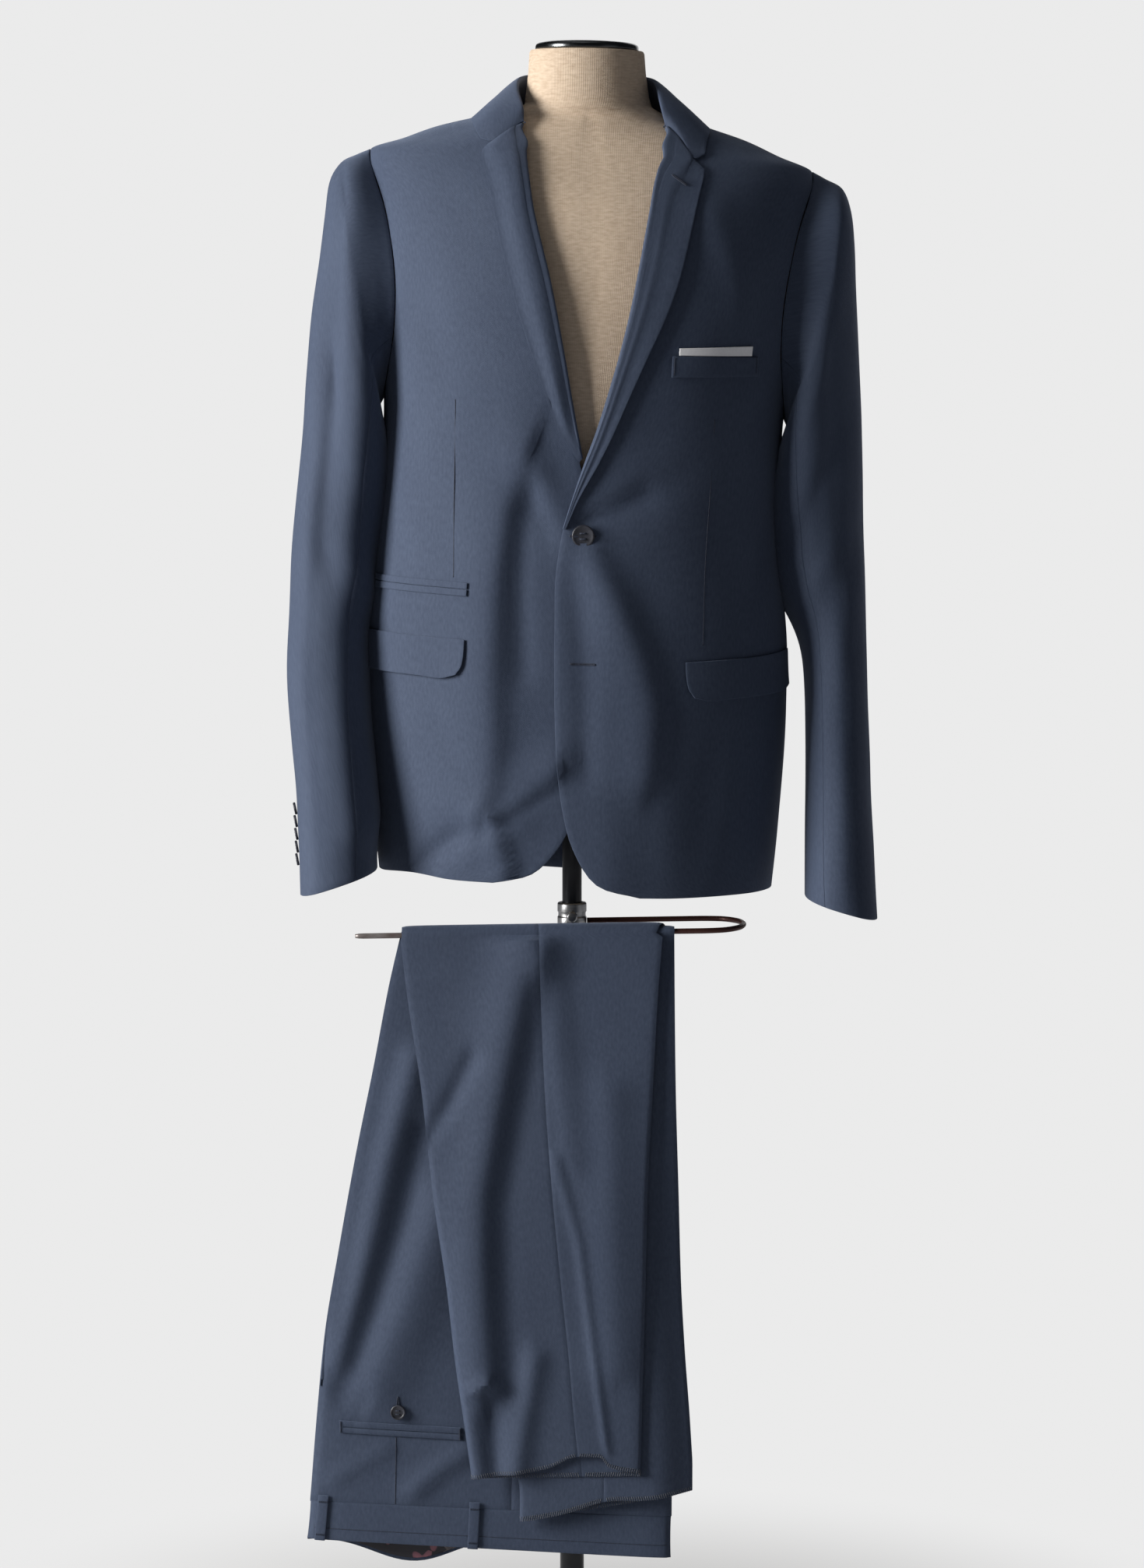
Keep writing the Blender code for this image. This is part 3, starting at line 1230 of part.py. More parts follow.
def trouser_bar(look):
    """Bent rod: rear arm from the clamp, bend at the right, front arm under the trousers."""
    reach = -BAR_Y / 2
    path = []
    start = CLAMP_RADIUS + SEAM
    path.append((start, 0.0, bar_height(start)))
    bend = BAR_RIGHT - reach
    for k in range(9):
        t = math.pi * k / 8
        x = bend + 0.040 * math.sin(t) ** 0.8
        path.append((x, -reach + reach * math.cos(t), bar_height(x)))
    for x in np.linspace(bend - 0.03, BAR_LEFT, 5):
        path.append((float(x), BAR_Y, bar_height(x)))
    pts = np.array(path)
    way = np.gradient(pts, axis=0)
    way = way / np.linalg.norm(way, axis=1, keepdims=True)
    up = np.array([0.0, 0.0, 1.0])
    cells = 8
    rings = []
    for p, w in zip(pts, way):
        aside = np.cross(w, up)
        aside = aside / np.linalg.norm(aside)
        over = np.cross(aside, w)
        turn = 2 * math.pi * np.arange(cells) / cells
        rings.append(p + BAR_RADIUS * (np.outer(np.cos(turn), aside) + np.outer(np.sin(turn), over)))
    allp = np.concatenate(rings + [[pts[0]], [pts[-1]]])
    faces = []
    count = len(pts)
    for j in range(count - 1):
        for i in range(cells):
            k = (i + 1) % cells
            a = j * cells
            b = a + cells
            faces.append((a + i, a + k, b + k, b + i))
    for i in range(cells):
        k = (i + 1) % cells
        faces.append((count * cells, k, i))
        last = (count - 1) * cells
        faces.append((count * cells + 1, last + i, last + k))
    solid("trouser_bar", allp, faces, look)


# ------------------------------------------------------------------ put together

for old in list(bpy.data.objects):
    bpy.data.objects.remove(old, do_unlink=True)
SUIT = bpy.data.collections.new("suit_on_form")
bpy.context.scene.collection.children.link(SUIT)

WOOL = material("navy wool", (0.045, 0.062, 0.105))
LINEN = material("natural linen", (0.62, 0.53, 0.42))
SILK = material("white square", (0.80, 0.80, 0.80))
PRINT = material("dark floral lining", (0.10, 0.08, 0.11))
BUTTON = material("dark horn", (0.035, 0.035, 0.045), 0.45)
STEEL = material("brushed nickel", (0.62, 0.62, 0.62), 0.35, 1.0)
BRONZE = material("dark bronze", (0.10, 0.055, 0.045), 0.4, 0.8)
BLACK = material("black steel", (0.020, 0.021, 0.025), 0.35, 0.8)

jacket_body(WOOL)
lapels(WOOL)
collar(WOOL)
sleeves(WOOL)
pockets(WOOL, SILK)
jacket_buttons()
trouser_panels(WOOL)
waist(WOOL, PRINT)
back_pockets(WOOL)
form(LINEN)
neck_cap(STEEL)
stand(STEEL, BLACK)
trouser_bar(BRONZE)
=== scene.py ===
import math

import bpy
import numpy as np
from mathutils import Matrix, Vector


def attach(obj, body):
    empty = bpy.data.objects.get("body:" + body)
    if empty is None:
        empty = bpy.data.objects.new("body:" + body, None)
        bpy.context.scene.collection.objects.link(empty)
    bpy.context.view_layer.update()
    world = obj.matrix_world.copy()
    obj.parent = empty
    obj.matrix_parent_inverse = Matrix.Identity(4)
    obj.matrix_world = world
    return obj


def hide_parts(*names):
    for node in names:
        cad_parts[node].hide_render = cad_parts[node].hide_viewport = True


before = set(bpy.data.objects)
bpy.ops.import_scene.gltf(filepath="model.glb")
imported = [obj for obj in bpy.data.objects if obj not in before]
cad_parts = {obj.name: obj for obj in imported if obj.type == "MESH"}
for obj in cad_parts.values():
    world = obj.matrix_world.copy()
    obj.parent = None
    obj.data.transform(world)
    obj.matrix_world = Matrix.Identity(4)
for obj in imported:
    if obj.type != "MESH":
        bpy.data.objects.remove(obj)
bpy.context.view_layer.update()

# ---------------------------------------------------------------- the studio
# A pale room: a floor that melts into an even light grey ground, one large soft lamp at the
# viewer's left, a weak one from the right, one above the shoulders and one behind.

SCENE = bpy.context.scene
GROUND = (0.83, 0.83, 0.83, 1)
FLOOR_RADII = (0.4, 0.9, 1.6, 3.0, 8.0, 40.0)
FLOOR_TURNS = 96
# Lamps: name, place, what it is turned to, width and height, watts, colour
LAMPS = (
    ("window_side", (-3.4, -1.38, 1.85), (0, 0, 0.95), (1.5, 2.2), 258, (1.0, 0.985, 0.96)),
    ("far_side", (3.2, -2.2, 1.6), (0, 0, 0.9), (2.0, 2.4), 1.5, (0.93, 0.96, 1.0)),
    ("overhead", (-0.4, -0.3, 3.6), (0, 0, 1.0), (2.2, 1.6), 7, (1.0, 1.0, 1.0)),
    ("behind", (0.6, 3.2, 2.0), (0, 0, 1.0), (2.4, 2.0), 14, (1.0, 1.0, 1.0)),
)


def linked(name, data):
    made = bpy.data.objects.new(name, data)
    SCENE.collection.objects.link(made)
    return made


def aimed(name, data, place, aim):
    """Lamp or camera at a place, turned to what it looks at."""
    made = linked(name, data)
    made.location = place
    made.rotation_mode = "QUATERNION"
    made.rotation_quaternion = (Vector(aim) - Vector(place)).to_track_quat("-Z", "Y")
    return made


def meshed(name, points, faces):
    mesh = bpy.data.meshes.new(name)
    mesh.from_pydata(np.asarray(points, float).tolist(), [], faces)
    return mesh


def node(tree, kind, inputs=(), **settings):
    """Shader node; an input is given a value or the output of another node."""
    made = tree.nodes.new("ShaderNode" + kind)
    for key, value in settings.items():
        setattr(made, key, value)
    for key, value in dict(inputs).items():
        if isinstance(value, bpy.types.NodeSocket):
            tree.links.new(value, made.inputs[key])
        else:
            made.inputs[key].default_value = value
    return made


def bare(look):
    """Empty node tree of a new world or material."""
    look.use_nodes = True
    look.node_tree.nodes.clear()
    return look.node_tree


def ground(tree, kind, faint):
    """The even ground for the camera's rays, and a fainter light for all others."""
    ray = node(tree, "LightPath").outputs["Is Camera Ray"]
    dim, full = [node(tree, kind, {"Color": colour}).outputs[0] for colour in (faint, GROUND)]
    return node(tree, "MixShader", {0: ray, 1: dim, 2: full}).outputs[0]


def studio():
    for name, place, aim, size, power, colour in LAMPS:
        lamp = bpy.data.lights.new(name, "AREA")
        lamp.shape = "RECTANGLE"
        lamp.size, lamp.size_y = size
        lamp.energy = power
        lamp.color = colour
        aimed(name, lamp, place, aim)
    SCENE.world = bpy.data.worlds.new("pale room")
    tree = bare(SCENE.world)
    node(tree, "OutputWorld", {"Surface": ground(tree, "Background", (0.033, 0.034, 0.038, 1))})
    SCENE.view_settings.view_transform = "Standard"
    SCENE.view_settings.look = "None"
    SCENE.view_settings.exposure = 0.0
    SCENE.view_settings.gamma = 1.0
    lens = bpy.data.cameras.new("camera")
    lens.sensor_width = 36.0
    lens.lens = 99.825
    lens.clip_start = 0.1
    lens.clip_end = 100.0
    SCENE.camera = aimed("camera", lens, (0.0, -4.0, 1.28), (0, 0, 0.87))


def stage_floor():
    points = [(0.0, 0.0, 0.0)]
    for r in FLOOR_RADII:
        points += [(r * math.cos(2 * math.pi * k / FLOOR_TURNS),
                    r * math.sin(2 * math.pi * k / FLOOR_TURNS), 0.0) for k in range(FLOOR_TURNS)]
    faces = []
    for k in range(FLOOR_TURNS):
        n = (k + 1) % FLOOR_TURNS
        faces.append((0, 1 + k, 1 + n))
        for j in range(len(FLOOR_RADII) - 1):
            a = 1 + j * FLOOR_TURNS
            b = a + FLOOR_TURNS
            faces.append((a + k, b + k, b + n, a + n))
    floor = linked("floor", meshed("floor", points, faces))
    look = bpy.data.materials.new("pale floor")
    tree = bare(look)
    place = node(tree, "TexCoord").outputs["Object"]
    far = node(tree, "VectorMath", {0: place}, operation="LENGTH").outputs["Value"]
    fade = node(tree, "MapRange", {"Value": far, "From Min": 0.22, "From Max": 0.80},
                interpolation_type="SMOOTHSTEP")
    matt = node(tree, "BsdfDiffuse", {"Color": (0.78, 0.78, 0.78, 1)})
    blend = node(tree, "MixShader", {0: fade.outputs["Result"], 1: matt.outputs[0],
                                     2: ground(tree, "Emission", (0.29, 0.29, 0.30, 1))})
    node(tree, "OutputMaterial", {"Surface": blend.outputs[0]})
    floor.data.materials.append(look)


studio()
stage_floor()

# ---------------------------------------------------------------- pole and base
# The stand's round base, its boss, the tube and the rod that slides in it are steel enamelled
# black. The satin nickel clamp goes round the rod and a thumb screw locks it.

PIECE_GAP = 0.0003       # air between pieces that touch
BASE_TOP = 0.012
BASE_RADIUS = 0.180
BOSS_RADIUS = 0.030
TUBE_RADIUS = 0.0112
ROD_RADIUS = 0.0090
ROD_TOP = 0.8618
CLAMP_RADIUS = 0.0135
CLAMP_LOW = 0.738
CLAMP_HIGH = 0.760
SCREW_Z = 0.7490
# Head of the thumb screw: radius, distance from the clamp
SCREW = [(0, 0), (0.0022, 0), (0.0022, 0.0050), (0.0044, 0.0054), (0.0049, 0.0066),
         (0.0050, 0.0100), (0.0042, 0.0114), (0.0030, 0.0118), (0, 0.0118)]


def coloured(tree, shader, source, *stops):
    """Base colour that runs through (place, colour) stops."""
    tree.links.new(ramp(tree, source, *stops), shader.inputs["Base Color"])


def ramp(tree, source, *stops):
    made = node(tree, "ValToRGB", {"Fac": source})
    bar = made.color_ramp.elements
    for k in (0, -1):
        bar[k].position = stops[k][0]
        bar[k].color = (*stops[k][1], 1)
    for at, colour in stops[1:-1]:
        bar.new(at).color = (*colour, 1)
    return made.outputs["Color"]


def principled(name, roughness, metallic=0.0):
    look = bpy.data.materials.new(name)
    look.use_nodes = True
    shader = look.node_tree.nodes["Principled BSDF"]
    shader.inputs["Roughness"].default_value = roughness
    shader.inputs["Metallic"].default_value = metallic
    return look, look.node_tree, shader


def spots(tree, scale, detail=3.0, stretch=(1, 1, 1), coords="Object"):
    """Noise in the piece's own coordinates, in cells per metre."""
    place = node(tree, "TexCoord").outputs[coords]
    spread = node(tree, "Mapping", {"Scale": stretch, "Vector": place}).outputs["Vector"]
    noise = node(tree, "TexNoise", {"Scale": scale, "Detail": detail, "Vector": spread})
    return noise.outputs["Fac"]


def maths(tree, operation, *inputs):
    return node(tree, "Math", dict(enumerate(inputs)), operation=operation).outputs[0]


def rough_between(tree, shader, source, low, high):
    span = node(tree, "MapRange", {"Value": source, "To Min": low, "To Max": high})
    tree.links.new(span.outputs["Result"], shader.inputs["Roughness"])


def raised(tree, shader, source, strength, distance):
    bump = node(tree, "Bump", {"Height": source, "Strength": strength, "Distance": distance})
    tree.links.new(bump.outputs["Normal"], shader.inputs["Normal"])


def metal(name, dark, light, low, high, metallic=1.0, brushed=(1, 1, 1)):
    look, tree, shader = principled(name, low, metallic)
    coloured(tree, shader, spots(tree, 55, 4, brushed), (0.3, dark), (0.7, light))
    rough_between(tree, shader, spots(tree, 420, 3, brushed), low, high)
    raised(tree, shader, spots(tree, 900, 2, brushed), 0.12, 0.0004)
    return look


NICKEL = metal("satin nickel", (0.40, 0.41, 0.42), (0.60, 0.60, 0.60), 0.26, 0.40,
               brushed=(1, 1, 14))
BLACK = metal("black enamelled steel", (0.012, 0.013, 0.016), (0.026, 0.028, 0.033), 0.24, 0.40,
              0.3)


def unit(v):
    """Directions made one long."""
    return v / np.linalg.norm(v, axis=-1, keepdims=True)


def finished(made, look, material_slot, *nodes, smooth=True):
    """Material, smooth shading, and its place in the frame."""
    made.data.materials.append(look)
    if smooth:
        made.data.shade_smooth()
    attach(made, "root")
    if nodes:
        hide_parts(*nodes)


def softened(made, width, segments, sharp):
    """Edges broken by a small bevel where they are sharper than so many degrees."""
    edge = made.modifiers.new("broken edges", "BEVEL")
    edge.width = width
    edge.segments = segments
    edge.limit_method = "ANGLE"
    edge.angle_limit = math.radians(sharp)


def turned(name, profile, look, material_slot, place=None, cells=64, soft=0.0004):
    """Piece turned on a lathe from (radius, z) rows; its name says which node and how."""
    points = []
    rings = []
    for radius, z in profile:
        count = cells if radius else 1
        rings.append([len(points) + k % count for k in range(cells + 1)])
        points += [(radius * math.cos(2 * math.pi * k / cells),
                    radius * math.sin(2 * math.pi * k / cells), z) for k in range(count)]
    faces = [tuple(dict.fromkeys((a[k], a[k + 1], b[k + 1], b[k])))
             for a, b in zip(rings[:-1], rings[1:]) for k in range(cells)]
    points = np.array(points)
    made = linked(name, meshed(name, place(points) if place else points, faces))
    softened(made, soft, 3, 28)
    finished(made, look, material_slot, name.rsplit("_", 1)[0])


def frame_at(centre, out, up=(0.0, 0.0, 1.0)):
    """Placement that lays a lathe's axis along an outward direction."""
    w = unit(np.asarray(out, float))
    u = unit(np.cross(up, w))
    turn = np.stack([u, np.cross(w, u), w])
    return lambda pts: np.asarray(centre) + pts @ turn


def pole_and_base():
    z = BASE_TOP + PIECE_GAP
    bore = TUBE_RADIUS + PIECE_GAP
    under = CLAMP_LOW - PIECE_GAP
    turned("base_plate_turned", [(0, 0), (BASE_RADIUS - 0.002, 0), (BASE_RADIUS, 0.002),
                                 (BASE_RADIUS, BASE_TOP - 0.004), (BASE_RADIUS - 0.004, BASE_TOP),
                                 (0, BASE_TOP)], BLACK, "black", cells=128)
    turned("base_boss_turned", [(bore, z), (BOSS_RADIUS, z), (BOSS_RADIUS, z + 0.010),
                                (0.0285, z + 0.0125), (0.0215, z + 0.028), (0.020, z + 0.032),
                                (0.0165, z + 0.052), (bore, z + 0.052)], BLACK, "black")
    for name, radius, low, high in (("lower_tube_drawn", TUBE_RADIUS, z, under),
                                    ("upper_rod_drawn", ROD_RADIUS, CLAMP_LOW, ROD_TOP)):
        turned(name, [(0, low), (radius, low), (radius, high), (0, high)], BLACK, "black")
    r = CLAMP_RADIUS
    bore = ROD_RADIUS + PIECE_GAP
    turned("bar_clamp_turned", [(bore, CLAMP_LOW), (r - 0.001, CLAMP_LOW), (r, CLAMP_LOW + 0.001),
                                (r, 0.7465), (r - 0.0008, 0.7472), (r - 0.0008, 0.7508),
                                (r, 0.7515), (r, CLAMP_HIGH - 0.001), (r - 0.001, CLAMP_HIGH),
                                (bore, CLAMP_HIGH)], NICKEL, "nickel")
    turned("clamp_screw_turned", SCREW, NICKEL, "nickel",
           frame_at((0.0, -r - PIECE_GAP, SCREW_Z), (0.0, -1.0, 0.0)), 40)


pole_and_base()

# ---------------------------------------------------------------- trouser bar
# One bent rod of lacquered metal: out from the clamp, round a bend at the viewer's right and back
# across the front, where the trousers hang over it. Its colour turns pale toward the free tip.

BAR_Y = -0.085
BAR_Z = 0.7425
BAR_RADIUS = 0.0025
BAR_SLOPE = 0.0154       # the trouser bar sags toward its free end
BAR_LEFT = -0.197
BAR_RIGHT = 0.160
BAR_ROWS = 150
TIP_PALE_FROM = -0.120       # the rod's colour turns pale from here to the tip
TIP_PALE_TO = -0.190


def bar_height(x):
    """The bar and all that hangs on it slope a little toward the free end."""
    return BAR_Z + BAR_SLOPE * (x + 0.02)


def through(table, col, at):
    """Smooth value of one column of a table whose first column runs up."""
    rows = np.asarray(table, float)
    xs = rows[:, 0]
    ys = rows[:, col]
    gap = np.diff(xs)
    slope = np.diff(ys) / gap
    lean = np.zeros(len(xs))
    lean[0] = slope[0]
    lean[-1] = slope[-1]
    for k in range(1, len(xs) - 1):
        if slope[k - 1] * slope[k] > 0:
            wa = 2 * gap[k] + gap[k - 1]
            wb = gap[k] + 2 * gap[k - 1]
            lean[k] = (wa + wb) / (wa / slope[k - 1] + wb / slope[k])
    at = np.clip(np.asarray(at, float), xs[0], xs[-1])
    k = np.clip(np.searchsorted(xs, at) - 1, 0, len(gap) - 1)
    t = (at - xs[k]) / gap[k]
    low = ys[k] * (1 + 2 * t) * (1 - t) ** 2 + ys[k + 1] * t * t * (3 - 2 * t)
    return low + gap[k] * (lean[k] * t * (1 - t) ** 2 - lean[k + 1] * t * t * (1 - t))


def walked(points):
    """Length walked along a line of points, or along every column of a grid of them."""
    steps = np.linalg.norm(np.diff(points, axis=0), axis=-1)
    return np.concatenate([np.zeros((1, *steps.shape[1:])), np.cumsum(steps, axis=0)])


def curve_at(points, places, at):
    """Smooth curve through points, read at places along it."""
    return np.stack([through(np.column_stack([places, c]), 1, at) for c in points.T], axis=-1)


def smooth_line(points, count):
    """Even samples on a smooth curve through 3-D points."""
    p = np.asarray(points, float)
    walk = walked(p)
    return curve_at(p, walk, np.linspace(0, walk[-1], count))


def rods_mesh(name, paths, radius, cells):
    """Closed round rods along paths; the radius may be one value or one for each point."""
    points = []
    faces = []
    turn = 2 * math.pi * np.arange(cells) / cells
    for path in paths:
        start = len(points)
        last = start + (len(path) - 1) * cells
        p = np.asarray(path, float)
        way = unit(np.gradient(p, axis=0))
        first = (0.0, 0.0, 1.0) if abs(way[0, 2]) < 0.9 else (0.0, 1.0, 0.0)
        aside = unit(np.cross(way[0], first))
        for q, w, r in zip(p, way, np.broadcast_to(radius, len(p))):
            aside = unit(aside - w * np.dot(aside, w))
            over = np.cross(aside, w)
            points.extend(q + r * (np.outer(np.cos(turn), aside) + np.outer(np.sin(turn), over)))
        faces.append(tuple(range(start, start + cells))[::-1])
        for j in range(start, last, cells):
            for i in range(cells):
                k = (i + 1) % cells
                faces.append((j + i, j + k, j + cells + k, j + cells + i))
        faces.append(tuple(range(last, last + cells)))
    return meshed(name, points, faces)


def trouser_bar():
    reach = -BAR_Y / 2
    bend = BAR_RIGHT - reach
    turns = [math.pi * k / 8 for k in range(9)]
    path = [(CLAMP_RADIUS + PIECE_GAP, 0.0), (0.06, 0.0)]
    path += [(bend + 0.040 * math.sin(t) ** 0.8, reach * math.cos(t) - reach) for t in turns]
    path += [(float(x), BAR_Y) for x in np.linspace(bend - 0.03, BAR_LEFT, 5)]
    line = smooth_line([(x, y, bar_height(x)) for x, y in path], BAR_ROWS)
    size = np.full(BAR_ROWS, BAR_RADIUS)
    size[-2:] *= (0.93, 0.72)
    look, tree, shader = principled("red-brown rod pale at its tip", 0.38, 0.5)
    x = node(tree, "SeparateXYZ", {0: node(tree, "TexCoord").outputs["Object"]}).outputs["X"]
    # The colour turns from red-brown to pale grey toward the free tip, in streaks along the rod.
    tip_share = node(tree, "MapRange", {"Value": x, "From Min": TIP_PALE_FROM, "From Max": TIP_PALE_TO})
    both = maths(tree, "MULTIPLY", tip_share.outputs["Result"], spots(tree, 210, 4, (0.3, 1, 1)))
    coloured(tree, shader, both, (0.0, (0.075, 0.030, 0.024)), (0.55, (0.30, 0.28, 0.27)))
    rough_between(tree, shader, spots(tree, 380, 3), 0.28, 0.5)
    finished(linked("trouser_bar_bent", rods_mesh("trouser_bar_bent", [line], size, 24)), look,
             "bronze", "trouser_bar")


trouser_bar()

# ---------------------------------------------------------------- dress form
# A padded torso with no limbs, covered in natural linen: sewn down the centre, along the sides and
# round the foot of the neck. A polished metal cap closes the neck.

# Jacket rings: z, half width, front depth, back depth, squareness
RINGS = [
    (0.77, 0.18, 0.127, 0.128, 2.3), (0.84, 0.187, 0.129, 0.127, 2.3),
    (0.95, 0.194, 0.13, 0.119, 2.3), (1.0, 0.1945, 0.13, 0.112, 2.3),
    (1.06, 0.19, 0.13, 0.105, 2.3), (1.1, 0.1855, 0.131, 0.103, 2.3),
    (1.15, 0.1825, 0.133, 0.105, 2.3), (1.2, 0.1825, 0.137, 0.111, 2.3),
    (1.25, 0.186, 0.14, 0.118, 2.3), (1.3, 0.192, 0.138, 0.125, 2.3),
    (1.35, 0.198, 0.131, 0.128, 2.3), (1.4, 0.203, 0.115, 0.122, 2.2),
    (1.425, 0.2045, 0.1, 0.112, 2.2), (1.441, 0.201, 0.088, 0.1, 2.1),
    (1.453, 0.171, 0.079, 0.09, 2.1), (1.465, 0.142, 0.07, 0.078, 2.05),
    (1.478, 0.098, 0.058, 0.067, 2), (1.488, 0.07, 0.05, 0.06, 2), (1.5, 0.06, 0.046, 0.056, 2)]
# Settling: z, shift to the viewer's right, drop per metre of x
SETTLE = [(0.78, 0.003, 0.05), (1.05, 0.004, 0.05), (1.2, 0.01, 0.052), (1.4, 0.018, 0.055),
          (1.47, 0.017, 0.045), (1.5, 0.014, 0.02), (1.56, 0.0135, 0.015)]
# Soft folds of the jacket body: degrees, z, degrees, z, spread, height (minus for a trough)
FOLDS = [
    (-27, 1.16, -4, 1.108, 0.013, -0.003), (-20, 1.2, -6, 1.135, 0.016, 0.0016),
    (30, 1.165, 6, 1.11, 0.015, -0.0022), (-6, 0.892, -27, 0.846, 0.012, -0.0032),
    (-27, 0.846, -46, 0.808, 0.013, -0.0026), (-10, 0.86, -30, 0.812, 0.014, 0.0026),
    (-24, 1.09, -24, 0.9, 0.02, 0.002), (10, 1.06, 24, 0.83, 0.022, 0.0026),
    (40, 0.95, 34, 0.8, 0.016, -0.0022), (-50, 1.34, -40, 1.22, 0.02, -0.0024),
    (50, 1.34, 42, 1.22, 0.02, -0.0024), (-62, 1.12, -50, 1.06, 0.014, -0.002),
    (62, 1.12, 52, 1.05, 0.014, -0.002), (118, 1.33, 128, 1.13, 0.018, -0.003),
    (-120, 1.32, -130, 1.11, 0.018, -0.0032), (150, 1.13, 178, 1.1, 0.016, -0.0024),
    (-140, 1.09, -170, 1.06, 0.014, -0.0022), (150, 1.4, 165, 1.27, 0.022, 0.0022),
    (-148, 1.4, -164, 1.28, 0.022, 0.002), (140, 0.94, 150, 0.8, 0.018, 0.0028),
    (-152, 0.95, -142, 0.8, 0.018, 0.0028)]
FOLD_REACH = 0.15        # metres round the body for one radian
# Linen under the jacket: z, how far it lies inside the jacket's rings
INSET = [(0.862, 0.014), (0.9, 0.012), (0.96, 0.013), (1.02, 0.013), (1.08, 0.011), (1.14, 0.01),
         (1.2, 0.01), (1.26, 0.01), (1.31, 0.01), (1.35, 0.009), (1.385, 0.0085), (1.41, 0.0084),
         (1.428, 0.008), (1.4415, 0.0068), (1.452, 0.0058), (1.463, 0.0052), (1.474, 0.0055),
         (1.482, 0.006)]
# Neck of the form: z, half width, half depth
NECK = [(1.49, 0.058, 0.052), (1.5, 0.056, 0.053), (1.52, 0.0535, 0.052), (1.5375, 0.0523, 0.051),
        (1.5395, 0.0512, 0.05)]
FORM_CELLS = 120
# Seams of the linen: turn from the centre back or front, spread
FORM_SEAMS = ((0.0, 0.012), (math.pi / 2, 0.010), (math.pi, 0.012))
CAP_Z = 1.5398
# Metal cap on the neck: radius, height
NECK_CAP = [(0, 0), (0.0462, 0), (0.047, 0.0012), (0.047, 0.0034), (0.0462, 0.0052),
            (0.044, 0.0064), (0.04, 0.0072), (0.03, 0.008), (0.015, 0.0085), (0, 0.0086)]


def ring(angle, z):
    """Point of the upright jacket body; the angle is 0 at centre front, 90 at the wearer's left."""
    wide, fore, aft, n = [through(RINGS, c, z) for c in (1, 2, 3, 4)]
    s = np.sin(angle)
    c = np.cos(angle)
    k = (np.abs(s) ** n + np.abs(c) ** n) ** (-1.0 / n)
    return np.stack([wide * s * k, -np.where(c > 0, fore, aft) * c * k, z], axis=-1)


def settle(p):
    """Lean and drop of the whole jacket and form on the pole."""
    q = np.array(p, float)
    z = q[..., 2].copy()
    q[..., 2] = z - through(SETTLE, 2, z) * q[..., 0]
    q[..., 0] = q[..., 0] + through(SETTLE, 1, z)
    return q


def ease(t):
    t = np.clip(t, 0.0, 1.0)
    return t * t * (3 - 2 * t)


def off_line(x, y, start, end):
    """Share of the way along a straight line, and how far off it a place lies in x and in y."""
    ax = end[0] - start[0]
    ay = end[1] - start[1]
    t = np.clip(((x - start[0]) * ax + (y - start[1]) * ay) / (ax * ax + ay * ay), 0.0, 1.0)
    return t, x - start[0] - t * ax, y - start[1] - t * ay


def fold_height(angle, z):
    """Sum of the soft folds at a place on the body."""
    total = np.zeros(np.broadcast(angle, z).shape)
    for a0, z0, a1, z1, spread, height in FOLDS:
        ends = [(math.radians(a) * FOLD_REACH, b) for a, b in ((a0, z0), (a1, z1))]
        t, da, dz = off_line(angle * FOLD_REACH, z, *ends)
        far = (da * da + dz * dz) / (spread * spread)
        total = total + height * np.exp(-far) * (0.35 + 0.65 * np.sin(np.pi * t))
    return total


def lap(side, angle, z):
    """How far the overlapping fronts stand apart near the centre front."""
    x = ring(angle, z)[..., 0] * side
    near = 1 - ease((x - 0.022) / 0.05)
    low = 1 - ease((z - 1.19) / 0.08)
    return near * low * (0.0012 + 0.0024 * ease((1.09 - z) / 0.07) if side > 0 else -0.0019)


def body(angle, z, lift, side=0):
    """Point lifted off the jacket body along its outward normal, before settling."""
    angle = np.asarray(angle, float)
    z = np.asarray(z, float)
    turn = 0.012
    rise = 0.0015
    across = ring(angle + turn, z) - ring(angle - turn, z)
    upward = ring(angle, z + rise) - ring(angle, z - rise)
    high = lift + fold_height(angle, z)
    if side:
        high = high + lap(side, angle, z)
    return ring(angle, z) + unit(np.cross(across, upward)) * high[..., None]


def mapped(name, points, faces, corners):
    """Mesh with the cloth's own lengths as its map."""
    mesh = meshed(name, points, faces)
    mesh.uv_layers.new(name="cloth").data.foreach_set("uv", np.ravel(corners))
    return mesh


def woven(name, dark, light, pitch, lean, bump, rough, sheen, tint, mottle=0.35,
          slubs=(420, 170, 1)):
    """Woven cloth: fine ribs at a slant across the map, slubs, slow shading and a soft sheen."""
    look, tree, shader = principled(name, rough)
    for key, value in (("Weight", sheen), ("Roughness", 0.45), ("Tint", (*tint, 1))):
        shader.inputs["Sheen " + key].default_value = value
    shader.inputs["Specular IOR Level"].default_value = 0.25
    place = node(tree, "TexCoord").outputs["UV"]
    waves = []
    for turn, wide in ((math.radians(lean), pitch), (math.radians(lean + 90.0), pitch * 1.25)):
        size = 2 * math.pi / wide
        way = (math.cos(turn) * size, math.sin(turn) * size, 0)
        dot = node(tree, "VectorMath", {0: place, 1: way}, operation="DOT_PRODUCT")
        waves.append(maths(tree, "SINE", dot.outputs["Value"]))
    ribs = maths(tree, "MULTIPLY_ADD", waves[1], 0.6, waves[0])
    slub = spots(tree, 1.0, 4, slubs, "UV")
    slow = spots(tree, 1.0, 3, (14, 9, 1), "UV")
    fine = maths(tree, "MULTIPLY", maths(tree, "MULTIPLY_ADD", ribs, 0.10, slub), 1.0 - mottle)
    mixed = maths(tree, "MULTIPLY_ADD", slow, mottle, fine)
    coloured(tree, shader, mixed, (0.30, dark), (0.70, light))
    raised(tree, shader, maths(tree, "MULTIPLY_ADD", slub, 1.3, ribs), bump, 0.00016)
    return look


